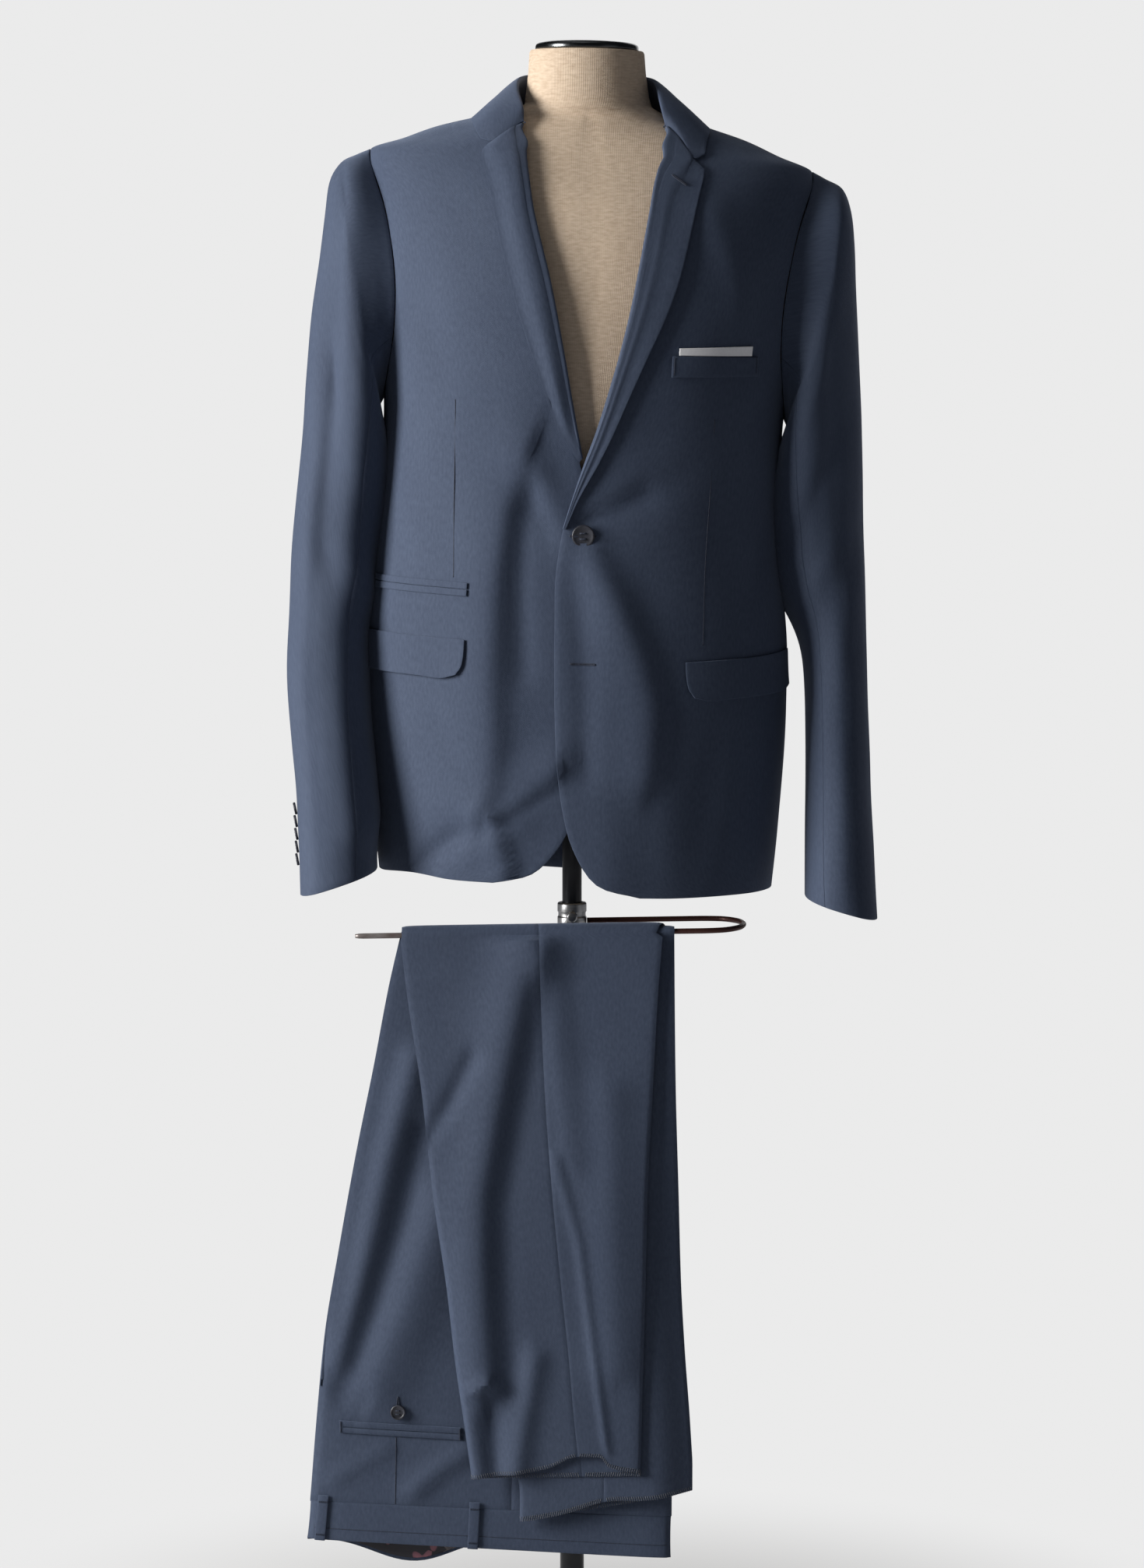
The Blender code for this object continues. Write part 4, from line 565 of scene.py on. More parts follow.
LINEN = woven("natural linen", (0.47, 0.355, 0.255), (0.66, 0.535, 0.41), 0.0011, 0.0, 0.55, 0.86,
              0.10, (1.0, 0.95, 0.88), 0.2, (130, 420, 1))
CAP_METAL = metal("polished cap", (0.06, 0.065, 0.07), (0.13, 0.135, 0.14), 0.16, 0.26)


def cover_mesh(name, rows):
    """Closed cover over stacked rings, with a middle point at each end."""
    turns = len(rows[0])
    count = len(rows) * turns
    points = np.concatenate(rows + [[rows[0].mean(axis=0)], [rows[-1].mean(axis=0)]])
    wide = [walked(np.concatenate([r, r[:1]])) for r in rows]
    wide = [w - w[turns // 2] for w in wide]
    faces = []
    corners = []
    for j in range(len(rows) - 1):
        a, b = j * turns, (j + 1) * turns
        for i in range(turns):
            n = (i + 1) % turns
            faces.append((a + i, a + n, b + n, b + i))
            low, high = points[a + i][2], points[b + i][2]
            corners += [(wide[j][i], low), (wide[j][i + 1], low), (wide[j + 1][i + 1], high),
                        (wide[j + 1][i], high)]
    for i in range(turns):
        n = (i + 1) % turns
        for f in ((count, n, i), (count + 1, count - turns + i, count - turns + n)):
            faces.append(f)
            corners += [points[k][:2] for k in f]
    return mapped(name, points, faces, corners)


def form_ring(turn, wide, deep, z):
    return np.stack([wide * np.sin(turn), -deep * np.cos(turn), np.full(len(turn), z)], axis=-1)


def dress_form():
    turn = np.linspace(-math.pi, math.pi, FORM_CELLS + 1)[:-1]
    seam = sum(0.0009 * np.exp(-((np.abs(turn) - at) / spread) ** 2) for at, spread in FORM_SEAMS)
    rows = []
    for z in np.concatenate([np.linspace(0.862, 1.36, 60), np.linspace(1.368, 1.482, 26)]):
        deep = float(through(INSET, 1, z)) + max(0.0, 0.866 - z) * 1.2
        r = body(turn, np.full(FORM_CELLS, z), -deep - seam)
        r[:, 2] += (z - r[:, 2]) * (1 - float(ease((z - 1.39) / 0.06)))
        rows.append(r)
    keyed = [rows[-1]] + [form_ring(turn, wide, deep, z) for z, wide, deep in NECK]
    for t in np.linspace(0, len(NECK), 34)[1:]:
        k = min(int(t), len(NECK) - 1)
        rows.append(keyed[k] * (1 - (t - k)) + keyed[k + 1] * (t - k))
    name = "dress_form_covered"
    made = linked(name, cover_mesh(name, [settle(r) for r in rows]))
    finished(made, LINEN, "linen", "dress_form")


def stitched(name, paths, size, cells, look, material_slot=None, smooth=True):
    """Cord, thread or stitches laid on the cloth: round rods along paths."""
    made = linked(name, rods_mesh(name, paths, size, cells))
    return finished(made, look, material_slot, smooth=smooth)


def neck_trim():
    """The seam round the foot of the neck, a fine tuck of linen, and the cap on top."""
    cord = settle(form_ring(np.linspace(-math.pi, math.pi, 97), 0.0592, 0.0526, 1.4860))
    stitched("neck_seam_cord", [cord], 0.0003, 8, LINEN, "linen")
    top, aside = settle([(0.0, 0.0, CAP_Z), (0.01, 0.0, CAP_Z)])
    toward = (0.0, 1.0, 0.0)
    turned("neck_cap_turned", NECK_CAP, CAP_METAL, "nickel",
           frame_at(top, np.cross(aside - top, toward), toward), 96)


dress_form()
neck_trim()

# ---------------------------------------------------------------- jacket body
# Navy wool suiting in six panels: a front, a side panel and a back on each side, sewn down the
# side seams, the shoulders and the centre back. The left front laps over the right.

SEWN = 0.00005           # how far each sewn edge is drawn in
JACKET_WALL = 0.0016
SHOULDER_Z = 1.441
NECK_Z = 1.485
BACK_NECK_Z = 1.4795
ARM_CELLS = 18
ARM_MID = 1.328
ARM_HIGH = 0.113
ARM_WIDE = 30.0
SIDE_CELLS = 16
HEM_CELLS = 8
BACK_CELLS = 9
SIDES = ((1, "left"), (-1, "right"))
# Front edge of each side: x toward the wearer's own side, z
CUTAWAY = {
    1: [(0.058, 0.782), (0.036, 0.7822), (0.016, 0.7954), (0.001, 0.8158), (-0.0117, 0.858),
        (-0.0165, 0.896)],
    -1: [(0.074, 0.7895), (0.06, 0.7915), (0.044, 0.7964), (0.0276, 0.8094), (0.01, 0.833),
         (-0.01, 0.88)]}
EDGE = {
    1: [(-0.0165, 0.896), (-0.0189, 0.946), (-0.0192, 1.029), (-0.0185, 1.084), (-0.0133, 1.1107)],
    -1: [(-0.01, 0.88), (-0.0165, 0.93), (-0.018, 1.029), (-0.0175, 1.084), (-0.015, 1.1107)]}
ROLL = {
    1: [(-0.0133, 1.1107), (-0.0055, 1.14), (0.0036, 1.1715), (0.0127, 1.2), (0.022, 1.235),
        (0.031, 1.274), (0.038, 1.311), (0.0437, 1.348), (0.051, 1.392), (0.0585, 1.429),
        (0.064, 1.453), (0.0672, 1.4698)],
    -1: [(-0.015, 1.1107), (-0.0085, 1.14), (-0.0005, 1.172), (0.0067, 1.203), (0.021, 1.267),
         (0.0355, 1.327), (0.0525, 1.391), (0.0588, 1.444), (0.061, 1.468)]}
# Hem of the body from front to back: degrees, z
HEM = {
    1: [(0, 0.782), (20, 0.782), (50, 0.785), (75, 0.786), (110, 0.784), (150, 0.778),
        (180, 0.776)],
    -1: [(0, 0.789), (20, 0.7895), (35, 0.7885), (50, 0.7905), (75, 0.786), (110, 0.784),
         (150, 0.778), (180, 0.776)]}
# Side seams: step of the armhole they end at, degrees at the hem, the waist and the chest
SIDE_SEAMS = ((7, 80, 79.5, 76), (11, 112, 109, 108))
# Finer creases: 1 on the front or -1 on the back, height, width left and right, (x, z) down it
CREASES = [
    (1, 0.0062, 0.04, 0.013, ((-0.051, 1.163), (-0.066, 1.121), (-0.074, 1.062), (-0.078, 0.984),
                              (-0.075, 0.917), (-0.082, 0.866))),
    (1, 0.0026, 0.008, 0.012, ((-0.036, 1.156), (-0.024, 1.123), (-0.015, 1.103))),
    (1, -0.0026, 0.01, 0.01, ((-0.046, 1.152), (-0.052, 1.119), (-0.052, 1.063), (-0.048, 0.98))),
    (1, -0.0036, 0.009, 0.006, ((0.008, 1.123), (0.032, 1.133), (0.057, 1.147))),
    (1, 0.0058, 0.024, 0.013, ((0.011, 1.091), (0.036, 1.046), (0.057, 1.002), (0.069, 0.958),
                               (0.065, 0.896))),
    (1, -0.002, 0.01, 0.012, ((-0.002, 1.083), (0.004, 1.027), (0.008, 0.96), (0.007, 0.893))),
    (1, 0.0066, 0.007, 0.02, ((-0.075, 0.848), (-0.047, 0.87), (-0.018, 0.892))),
    (1, 0.0056, 0.02, 0.007, ((-0.075, 0.846), (-0.067, 0.822), (-0.061, 0.804))),
    (1, -0.0034, 0.014, 0.005, ((-0.14, 0.806), (-0.112, 0.828), (-0.082, 0.844))),
    (1, -0.001, 0.004, 0.004, ((-0.126, 0.931), (-0.104, 0.896), (-0.083, 0.86))),
    (1, 0.0024, 0.014, 0.018, ((0.107, 1.392), (0.133, 1.332), (0.142, 1.291))),
    (-1, 0.004, 0.018, 0.012, ((0.118, 1.33), (0.104, 1.23), (0.076, 1.15))),
    (-1, 0.0036, 0.012, 0.018, ((-0.126, 1.31), (-0.108, 1.21), (-0.07, 1.14))),
    (-1, -0.0032, 0.011, 0.009, ((-0.104, 1.094), (-0.04, 1.078), (0.034, 1.09))),
    (-1, 0.0026, 0.01, 0.01, ((0.122, 1.082), (0.08, 1.066), (0.03, 1.07))),
    (-1, 0.0036, 0.022, 0.014, ((0.052, 1.02), (0.074, 0.9), (0.08, 0.806))),
    (-1, 0.0032, 0.012, 0.02, ((-0.07, 1.0), (-0.092, 0.9), (-0.09, 0.806)))]
NAVY = woven("navy wool suiting", (0.0355, 0.0495, 0.0865), (0.0580, 0.0780, 0.1260), 0.00062, 58.0,
             0.35, 0.72, 0.30, (0.62, 0.74, 1.0))


def sampled(at, walk, line):
    """Point of a line of points at a length walked along it."""
    return np.stack([np.interp(at, walk, c) for c in line.T], axis=-1)


def trace(points, cells, scale=(FOLD_REACH, 1.0)):
    """Even samples along a smooth curve through (angle, z) points."""
    pts = np.asarray(points, float)
    along = walked(pts * scale)
    fine = np.linspace(0.0, along[-1], 40 * cells + 1)
    curve = curve_at(pts, along, fine) if len(pts) > 2 else sampled(fine, along, pts)
    walk = walked(curve * scale)
    return sampled(np.linspace(0.0, walk[-1], cells + 1), walk, curve)


def joined(first, second):
    """Two curves laid end to end, the shared point kept once."""
    return np.concatenate([first, second[1:]])


def filled(bottom, top, left, right):
    """Grid of points filling four boundary curves; rows run up, columns run across."""
    u = np.linspace(0.0, 1.0, len(bottom))[None, :, None]
    v = np.linspace(0.0, 1.0, len(left))[:, None, None]
    up = (1 - v) * bottom[None] + v * top[None]
    across = (1 - u) * left[:, None] + u * right[:, None]
    corners = (1 - v) * ((1 - u) * bottom[0] + u * bottom[-1])
    return up + across - corners - v * ((1 - u) * top[0] + u * top[-1])


def on_front(points):
    """Angle and height for (x, z) rows on the front of the body."""
    x, z = np.asarray(points, float).T
    n = through(RINGS, 4, z)
    q = np.clip(np.abs(x) / through(RINGS, 1, z), 0.0, 0.9995) ** n
    return np.column_stack([np.sign(x) * np.arctan((q / (1 - q)) ** (1.0 / n)), z])


def panel(bottom, top, left, right):
    """Panel pattern filled evenly on the body itself, so its cells keep their shape."""
    g = filled(*[ring(c[:, 0], c[:, 1]) for c in (bottom, top, left, right)])
    z = g[..., 2]
    deep = np.where(g[..., 1] < 0, through(RINGS, 2, z), through(RINGS, 3, z))
    out = np.stack([np.arctan2(g[..., 0] / through(RINGS, 1, z), -g[..., 1] / deep), z], axis=-1)
    out[0] = bottom
    out[-1] = top
    out[:, 0] = left
    out[:, -1] = right
    return out


def squared(way, run):
    """Direction turned square to another."""
    return way - run * np.sum(way * run, axis=-1, keepdims=True)


def drawn_in(grid, sides):
    """Sewn rows and columns at the edge of a grid pulled squarely inward."""
    g = grid.copy()
    for side, edge, inner in (("l", np.s_[:, 0], np.s_[:, 1]), ("r", np.s_[:, -1], np.s_[:, -2]),
                              ("b", 0, 1), ("t", -1, -2)):
        if side in sides:
            run = unit(np.gradient(grid[edge], axis=0))
            g[edge] += SEWN * unit(squared(grid[inner] - grid[edge], run))
    return g


def arm_curve(first, last):
    """Armhole samples in angle and height; turn 0 is the shoulder, 90 degrees the front."""
    turn = np.radians(20.0 * np.arange(first, last + 1))
    return np.column_stack([np.radians(90.0 - ARM_WIDE * np.sin(turn)),
                            ARM_MID + ARM_HIGH * np.cos(turn)])


def side_seams(side):
    """Front and back side seams from the hem to the armhole."""
    return [trace([(math.radians(low), through(HEM[side], 1, low)), (math.radians(waist), 1.0),
                   (math.radians(chest), 1.15), arm_curve(step, step)[0]], SIDE_CELLS)
            for step, low, waist, chest in SIDE_SEAMS]


def hem_curve(side, start, stop, cells, left, right):
    """Hem samples between two angles in degrees, from one upright edge to the other."""
    deg = np.linspace(start, stop, cells + 1)
    hem = np.column_stack([np.radians(deg), through(HEM[side], 1, deg)])
    hem[0] = left[0]
    hem[-1] = right[0]
    return hem


def front_grid(side):
    """Front panel; its cut edge runs a little inside the lapel roll."""
    inside = [(x + 0.0030 * float(ease((z - 1.115) / 0.06)), z) for x, z in ROLL[side]]
    cut, edge, roll = [trace(on_front(rows), cells) for rows, cells in
                       ((CUTAWAY[side], 4), (EDGE[side], 5), (inside, 11))]
    neck = trace([roll[-1], (math.radians(52), 1.4790), (math.pi / 2, NECK_Z)], 3)
    left = joined(joined(cut, edge), joined(roll, neck))
    right = joined(side_seams(side)[0], arm_curve(0, 7)[::-1])
    hem = hem_curve(side, math.degrees(left[0][0]), 80, HEM_CELLS, left, right)
    z = np.linspace(NECK_Z, SHOULDER_Z, HEM_CELLS + 1)
    top = np.column_stack([np.full(HEM_CELLS + 1, math.pi / 2), z])
    top[0] = left[-1]
    top[-1] = right[-1]
    return panel(hem, top, left, right)


def side_grid(side):
    fore, aft = side_seams(side)
    return panel(hem_curve(side, 80, 112, 4, fore, aft), arm_curve(7, 11), fore, aft)


def back_grid(side):
    """Back panel: its top is the shoulder seam followed by the back neck."""
    left = joined(side_seams(side)[1], arm_curve(11, 18))
    low = through(HEM[side], 1, 180)
    z = left[:, 1]
    climb = (z - z[0]) / (SHOULDER_Z - z[0])
    rise = (BACK_NECK_Z - SHOULDER_Z) * ease((z - 1.24) / 0.23) / 0.95
    z = low + (SHOULDER_Z - low) * climb + rise
    centre = np.column_stack([np.full(len(z), math.pi), z])
    centre[-1, 1] = BACK_NECK_Z
    hem = hem_curve(side, 112, 180, BACK_CELLS, left, centre)
    neck = trace([(math.pi / 2, NECK_Z), (math.radians(130), 1.4825), (math.pi, BACK_NECK_Z)], 3,
                 (1.0, 1.0))
    z = np.linspace(SHOULDER_Z, NECK_Z, BACK_CELLS - 2)
    shoulder = np.column_stack([np.full(BACK_CELLS - 2, math.pi / 2), z])
    return panel(hem, joined(shoulder, neck), left, centre)


def ridge(points, left, right, x, drop):
    """Soft ridge, one high, along a line; its left and right slopes may differ."""
    best = np.full(np.shape(x), np.inf)
    for start, end in zip(points[:-1], points[1:]):
        _, dx, dd = off_line(x, drop, start, end)
        wide = np.where(dx * (end[1] - start[1]) - dd * (end[0] - start[0]) > 0, right, left)
        best = np.minimum(best, (dx * dx + dd * dd) / (wide * wide))
    return np.exp(-best)


soft_folds = fold_height


def fold_height(angle, z):
    """Soft folds of the whole body and the finer creases of the cloth's front and back."""
    x = ring(angle, z)[..., 0]
    total = soft_folds(angle, z)
    for face, height, left, right, points in CREASES:
        line = ridge([(a, -b) for a, b in points], left, right, x, -z)
        total = total + height * line * ease(face * np.cos(angle) / 0.25)
    return total


def finer(grid, up, across, loop=False):
    """Grid with more rows and columns, on smooth curves through its own points."""
    def along(g, n, closed):
        count = g.shape[0]
        if n == 1 or count < 2:
            return g
        t = np.linspace(0, count - 1, (count - 1) * n + 1)
        k = np.minimum(t.astype(int), count - 2)
        f = (t - k).reshape(-1, *([1] * (g.ndim - 1)))
        ends = (g[-2:-1], g[1:2]) if closed else (2 * g[:1] - g[1:2], 2 * g[-1:] - g[-2:-1])
        wide = np.concatenate([ends[0], g, ends[1]])
        p = [wide[k + m] for m in range(4)]
        return (p[1] + 0.5 * f * (p[2] - p[0] + f * (2 * p[0] - 5 * p[1] + 4 * p[2] - p[3]
                + f * (3 * (p[1] - p[2]) + p[3] - p[0]))))
    g = along(grid, up, False)
    return np.moveaxis(along(np.moveaxis(g, 1, 0), across, loop), 0, 1)


def cloth_map(grid):
    """Length along the cloth in both directions for each point of a grid, in metres."""
    u = walked(grid.swapaxes(0, 1)).T
    return np.stack([u - u[:, [grid.shape[1] // 2]], walked(grid)], axis=-1)


def grid_mesh(name, outer, inner, keep):
    """Closed wall between two grids, in the cells that are kept."""
    rows, cols = outer.shape[:2]
    count = rows * cols
    a = (np.arange(rows - 1)[:, None] * cols + np.arange(cols - 1))[keep].ravel()
    quads = np.stack([a, a + 1, a + 1 + cols, a + cols], axis=1)
    edges = np.concatenate([quads[:, [k, (k + 1) % 4]] for k in range(4)])
    back = edges[:, 1] * count + edges[:, 0]
    rim = edges[~np.isin(edges[:, 0] * count + edges[:, 1], back)]
    sides = np.stack([rim[:, 1], rim[:, 0], rim[:, 0] + count, rim[:, 1] + count], axis=1)
    used, quads = np.unique(np.concatenate([quads, quads[:, ::-1] + count, sides]),
                            return_inverse=True)
    quads = quads.reshape(-1, 4)
    points = np.concatenate([outer.reshape(-1, 3), inner.reshape(-1, 3)])[used]
    maps = np.tile(cloth_map(outer).reshape(-1, 2), (2, 1))[used]
    p = points - points.mean(axis=0)
    swept = [np.sum(p[quads[:, 0]] * np.cross(p[quads[:, m]], p[quads[:, m + 1]])) for m in (1, 2)]
    if sum(swept) < 0:
        quads = quads[:, ::-1]
    return mapped(name, points, quads.tolist(), maps[quads.ravel()])


def wall(node_name, outer, inner, look=None, material_slot="wool", keep=..., on="dress_form",
         soft=0.0004):
    """Wall of cloth between two grids, its raw corners softened."""
    made = linked(node_name + "_cloth", grid_mesh(node_name + "_cloth", outer, inner, keep))
    softened(made, soft, 2, 48)
    finished(made, look or NAVY, material_slot, node_name)
    cut = cloth_map(outer)


def cloth(name, pattern, side, sides="", low=-JACKET_WALL, high=0.0, lapped=0, up=4, across=5,
          look=None, material_slot="wool"):
    """Wall of jacket cloth over a pattern grid of angles and heights, turned to its own side."""
    lifts = [np.broadcast_to(v, pattern.shape[:2])[..., None] for v in (low, high)]
    g = finer(np.concatenate([pattern, *lifts], axis=-1), up, across)
    g[..., 0] *= side
    if side < 0:
        g = g[:, ::-1]
        sides = sides.translate(str.maketrans("lr", "rl"))
    outer, inner = [settle(drawn_in(body(g[..., 0], g[..., 1], g[..., c], lapped), sides))
                    for c in (3, 2)]
    wall(name, outer, inner, look, material_slot)


def thread_look(name, dark, light):
    look, tree, shader = principled(name, 0.7)
    coloured(tree, shader, spots(tree, 900, 3), (0.3, dark), (0.7, light))
    raised(tree, shader, spots(tree, 2600, 2), 0.3, 0.0002)
    return look


NAVY_THREAD = thread_look("navy silk thread", (0.012, 0.016, 0.030), (0.035, 0.045, 0.075))


def on_body(rows, lift, side=0):
    """Settled points at (x, z) rows on the front of the jacket body, lifted off it."""
    angle, z = on_front(rows).T
    return settle(body(angle, z, lift, side))


def laid_thread(name, rows, size, lift, side=0):
    """Sewn line lying on the jacket along (x, z) rows."""
    line = smooth_line(on_body(rows, lift, side), 60)
    stitched(name, [line], size, 6, NAVY_THREAD, "wool")


for side, word in SIDES:
    cloth("front_" + word, front_grid(side), side, "rt", lapped=side, across=6)
    cloth("side_panel_" + word, side_grid(side), side, "lrt", across=4)
    cloth("back_" + word, back_grid(side), side, "lrt")
# Waist darts, sewn into each front as a fine closed line
laid_thread("front_dart_left", [(0.117, 1.214), (0.116, 1.15), (0.1146, 1.08), (0.1136, 1.012)],
            0.00042, -0.00005, 1)
laid_thread("front_dart_right", [(-0.115, 1.22), (-0.113, 1.17), (-0.1105, 1.11), (-0.109, 1.062)],
            0.00042, -0.00005, -1)

# ---------------------------------------------------------------- sleeves
# Two-piece set-in sleeves, top and under sleeve sewn along both seams, hanging straight with soft
# breaks at the elbow. Each cuff carries five dark buttons that touch one another.

# Rings of both sleeves from the shoulder to the forearm: outer z, inner z, half depth
SLEEVE_RINGS = [
    (1.436, 1.206, 0.077), (1.427, 1.196, 0.08), (1.408, 1.182, 0.082), (1.378, 1.165, 0.083),
    (1.34, 1.145, 0.082), (1.29, 1.12, 0.08), (1.235, 1.095, 0.0775), (1.18, 1.066, 0.075),
    (1.125, 1.035, 0.0725), (1.07, 1.002, 0.07), (1.015, 0.968, 0.068), (0.96, 0.93, 0.0655),
    (0.905, 0.89, 0.0625), (0.85, 0.848, 0.0595)]
# The last two rings of each, at the cuff
CUFF_RINGS = {1: [(0.805, 0.813, 0.057), (0.768, 0.784, 0.055)],
              -1: [(0.805, 0.82, 0.057), (0.764, 0.79, 0.055)]}
# Line of each sleeve, a row for every ring: outer x, inner x, centre y
SLEEVE_LINE = {
    1: [(0.215, 0.1905, 0.002), (0.2275, 0.1895, 0.003), (0.235, 0.1885, 0.004),
        (0.2385, 0.1878, 0.005), (0.2412, 0.1872, 0.006), (0.2462, 0.188, 0.007),
        (0.252, 0.19, 0.008), (0.2572, 0.195, 0.007), (0.2614, 0.202, 0.004),
        (0.2648, 0.2086, -0.002), (0.2664, 0.211, -0.01), (0.2678, 0.2116, -0.02),
        (0.2704, 0.2114, -0.031), (0.2722, 0.2106, -0.042), (0.2738, 0.2102, -0.051),
        (0.2757, 0.21, -0.058)],
    -1: [(0.2155, 0.1905, 0.002), (0.2285, 0.1895, 0.003), (0.2375, 0.1885, 0.004),
         (0.2415, 0.1878, 0.005), (0.2455, 0.1872, 0.006), (0.251, 0.1872, 0.007),
         (0.2534, 0.1888, 0.008), (0.2558, 0.192, 0.006), (0.2586, 0.1955, 0.0),
         (0.2615, 0.1975, -0.008), (0.2634, 0.1975, -0.018), (0.2642, 0.1965, -0.028),
         (0.2602, 0.193, -0.038), (0.2555, 0.189, -0.048), (0.252, 0.185, -0.056),
         (0.2505, 0.1815, -0.063)]}
SLEEVE_SQUARE = 2.5
# Sleeve folds, then fullness: turn, ring, turn, ring, spread in turns of 20 degrees, height
SLEEVE_FOLDS = {
    1: [(3.2, 2, 3.6, 6.5, 0.9, -0.0022), (1.4, 2, 1.8, 7, 1, 0.0016),
        (5.5, 7.2, 2.4, 9, 0.8, -0.0036), (6, 8.6, 3, 10.6, 0.8, -0.003),
        (12.5, 7.5, 15.5, 9.2, 0.9, 0.0026), (13.5, 10, 16, 12, 0.9, -0.0024),
        (4, 12, 1.6, 13.4, 0.9, -0.0018),
        (6, 1, 5.8, 8.5, 1, 0.007), (5.2, 9, 4.8, 15, 1, 0.003),
        (8.8, 3.3, 9, 8, 1.7, 0.0115), (9, 5, 9, 7.5, 1.3, 0.006)],
    -1: [(2.2, 2, 3.4, 6, 0.7, -0.0052), (3.4, 6, 4.6, 9, 0.7, -0.0056),
         (1.2, 3, 1.9, 7, 0.9, 0.002), (5.2, 9.4, 2, 10.8, 0.8, -0.0034),
         (5.6, 8, 3, 9, 0.8, 0.0022), (13, 7.8, 15.6, 9.4, 0.9, 0.0026),
         (13.2, 10.4, 16.2, 12.2, 0.9, -0.0026), (3.8, 12.4, 1.4, 13.8, 0.9, -0.0018),
         (6, 1, 6.2, 9, 1, 0.008), (6.2, 9, 6.2, 14.5, 1, 0.006),
         (8.8, 3.3, 9, 14, 1.7, 0.01), (9, 4.6, 9, 7, 1.3, 0.006)]}
RING_STEP = 2.2          # a ring down the arm, in turns of 20 degrees
SLEEVE_UP = 5
SLEEVE_ACROSS = 6
# Sleeve panels: name, first and last turn
SLEEVE_PANELS = (("top_sleeve_", -6, 6), ("under_sleeve_", 6, 12))
CUFF_BUTTONS = 5
CUFF_BUTTON_RADIUS = 0.0066 * 0.86
CUFF_BUTTON_STEP = 0.0116
CUFF_BUTTON_START = 0.032
CUFF_BUTTON_LIFT = 0.0011
CUFF_BUTTON_TURN = {1: 15.6, -1: 0.55}
# Profile of a button: share of the radius, height
BUTTON = [(0, 0), (0.9, 0), (0.985, 0.0005), (1, 0.0012), (0.97, 0.002), (0.9, 0.00235),
          (0.8, 0.00215), (0.7, 0.0016), (0.4, 0.00145), (0, 0.00145)]


def sleeve_rings(side):
    """Rings of a sleeve from the armhole to the cuff."""
    turn = np.radians(20.0 * np.arange(ARM_CELLS + 1))
    arm = arm_curve(0, ARM_CELLS)
    rows = [body(arm[:, 0] * side, arm[:, 1], 0.0007)]
    c = np.cos(turn)
    s = np.sin(turn)
    k = (np.abs(c) ** SLEEVE_SQUARE + np.abs(s) ** SLEEVE_SQUARE) ** (-1.0 / SLEEVE_SQUARE)
    c = c * k
    for (oz, iz, hd), (ox, ix, cy) in zip(SLEEVE_RINGS + CUFF_RINGS[side], SLEEVE_LINE[side]):
        x = side * ((ox + ix) / 2 + c * (ox - ix) / 2)
        rows.append(np.stack([x, cy - s * k * hd, (oz + iz) / 2 + c * (oz - iz) / 2], axis=-1))
    grid = np.stack(rows)
    grid[1] = 0.35 * grid[1] + 0.65 * (grid[0] + (grid[2] - grid[0]) * 0.42)
    grid[1, :, 0] = side * np.maximum(np.abs(grid[1, :, 0]), np.abs(grid[0, :, 0]) + 0.004)
    return grid


def sleeve_skin(grid, side, up=1, across=1):
    """Outside of a sleeve raised by its folds, and its outward directions."""
    around = np.empty_like(grid)
    around[:, 1:-1] = grid[:, 2:] - grid[:, :-2]
    around[:, 0] = around[:, -1] = grid[:, 1] - grid[:, -2]
    out = unit(np.cross(around, np.gradient(grid, axis=0)) * side)
    out[0] = out[1]
    j, i = np.meshgrid(np.arange(len(grid)) / up, np.arange(grid.shape[1]) / across, indexing="ij")
    total = np.zeros(j.shape)
    for t0, r0, t1, r1, spread, height in SLEEVE_FOLDS[side]:
        for wrap in (-ARM_CELLS, 0, ARM_CELLS):
            ends = (t0, r0 * RING_STEP), (t1, r1 * RING_STEP)
            _, di, dj = off_line(i + wrap, j * RING_STEP, *ends)
            total += height * np.exp(-(di * di + dj * dj) / (1.6 * spread) ** 2)
    return grid + out * (total * np.minimum(1.0, j / 2.0))[..., None], out


def horn():
    look, tree, shader = principled("dark horn button", 0.30)
    coloured(tree, shader, spots(tree, 160, 4), (0.3, (0.010, 0.011, 0.016)),
             (0.7, (0.040, 0.042, 0.055)))
    rough_between(tree, shader, spots(tree, 700, 3), 0.34, 0.50)
    shader.inputs["Coat Weight"].default_value = 0.08
    return look


HORN = horn()


def sewn_button(node_name, radius, place):
    """Turned button with a rim and a dished middle, drilled and sewn on through its holes."""
    name = node_name + "_turned"
    turned(name, [(radius * r, z) for r, z in BUTTON], HORN, "horn", place, 48, 0.00015)
    gap = radius * 0.24
    size = radius * 0.075
    for k, (ax, ay) in enumerate(((-1, -1), (1, -1), (1, 1), (-1, 1))):
        spot = np.array([[ax * gap, ay * gap, 0.00135], [ax * gap, ay * gap, 0.00165]])
        stitched("%s_hole_%d" % (name, k + 1), [place(spot)], size * 1.25, 10, NAVY_THREAD,
                 smooth=False)
    for k, y in enumerate((-gap, gap)):
        span = np.array([[x * gap, y, z] for x, z in
                         ((-1, 0.0014), (-0.6, 0.0021), (0.6, 0.0021), (1, 0.0014))])
        stitched("%s_thread_%d" % (name, k + 1), [smooth_line(place(span), 12)], size, 8,
                 NAVY_THREAD)


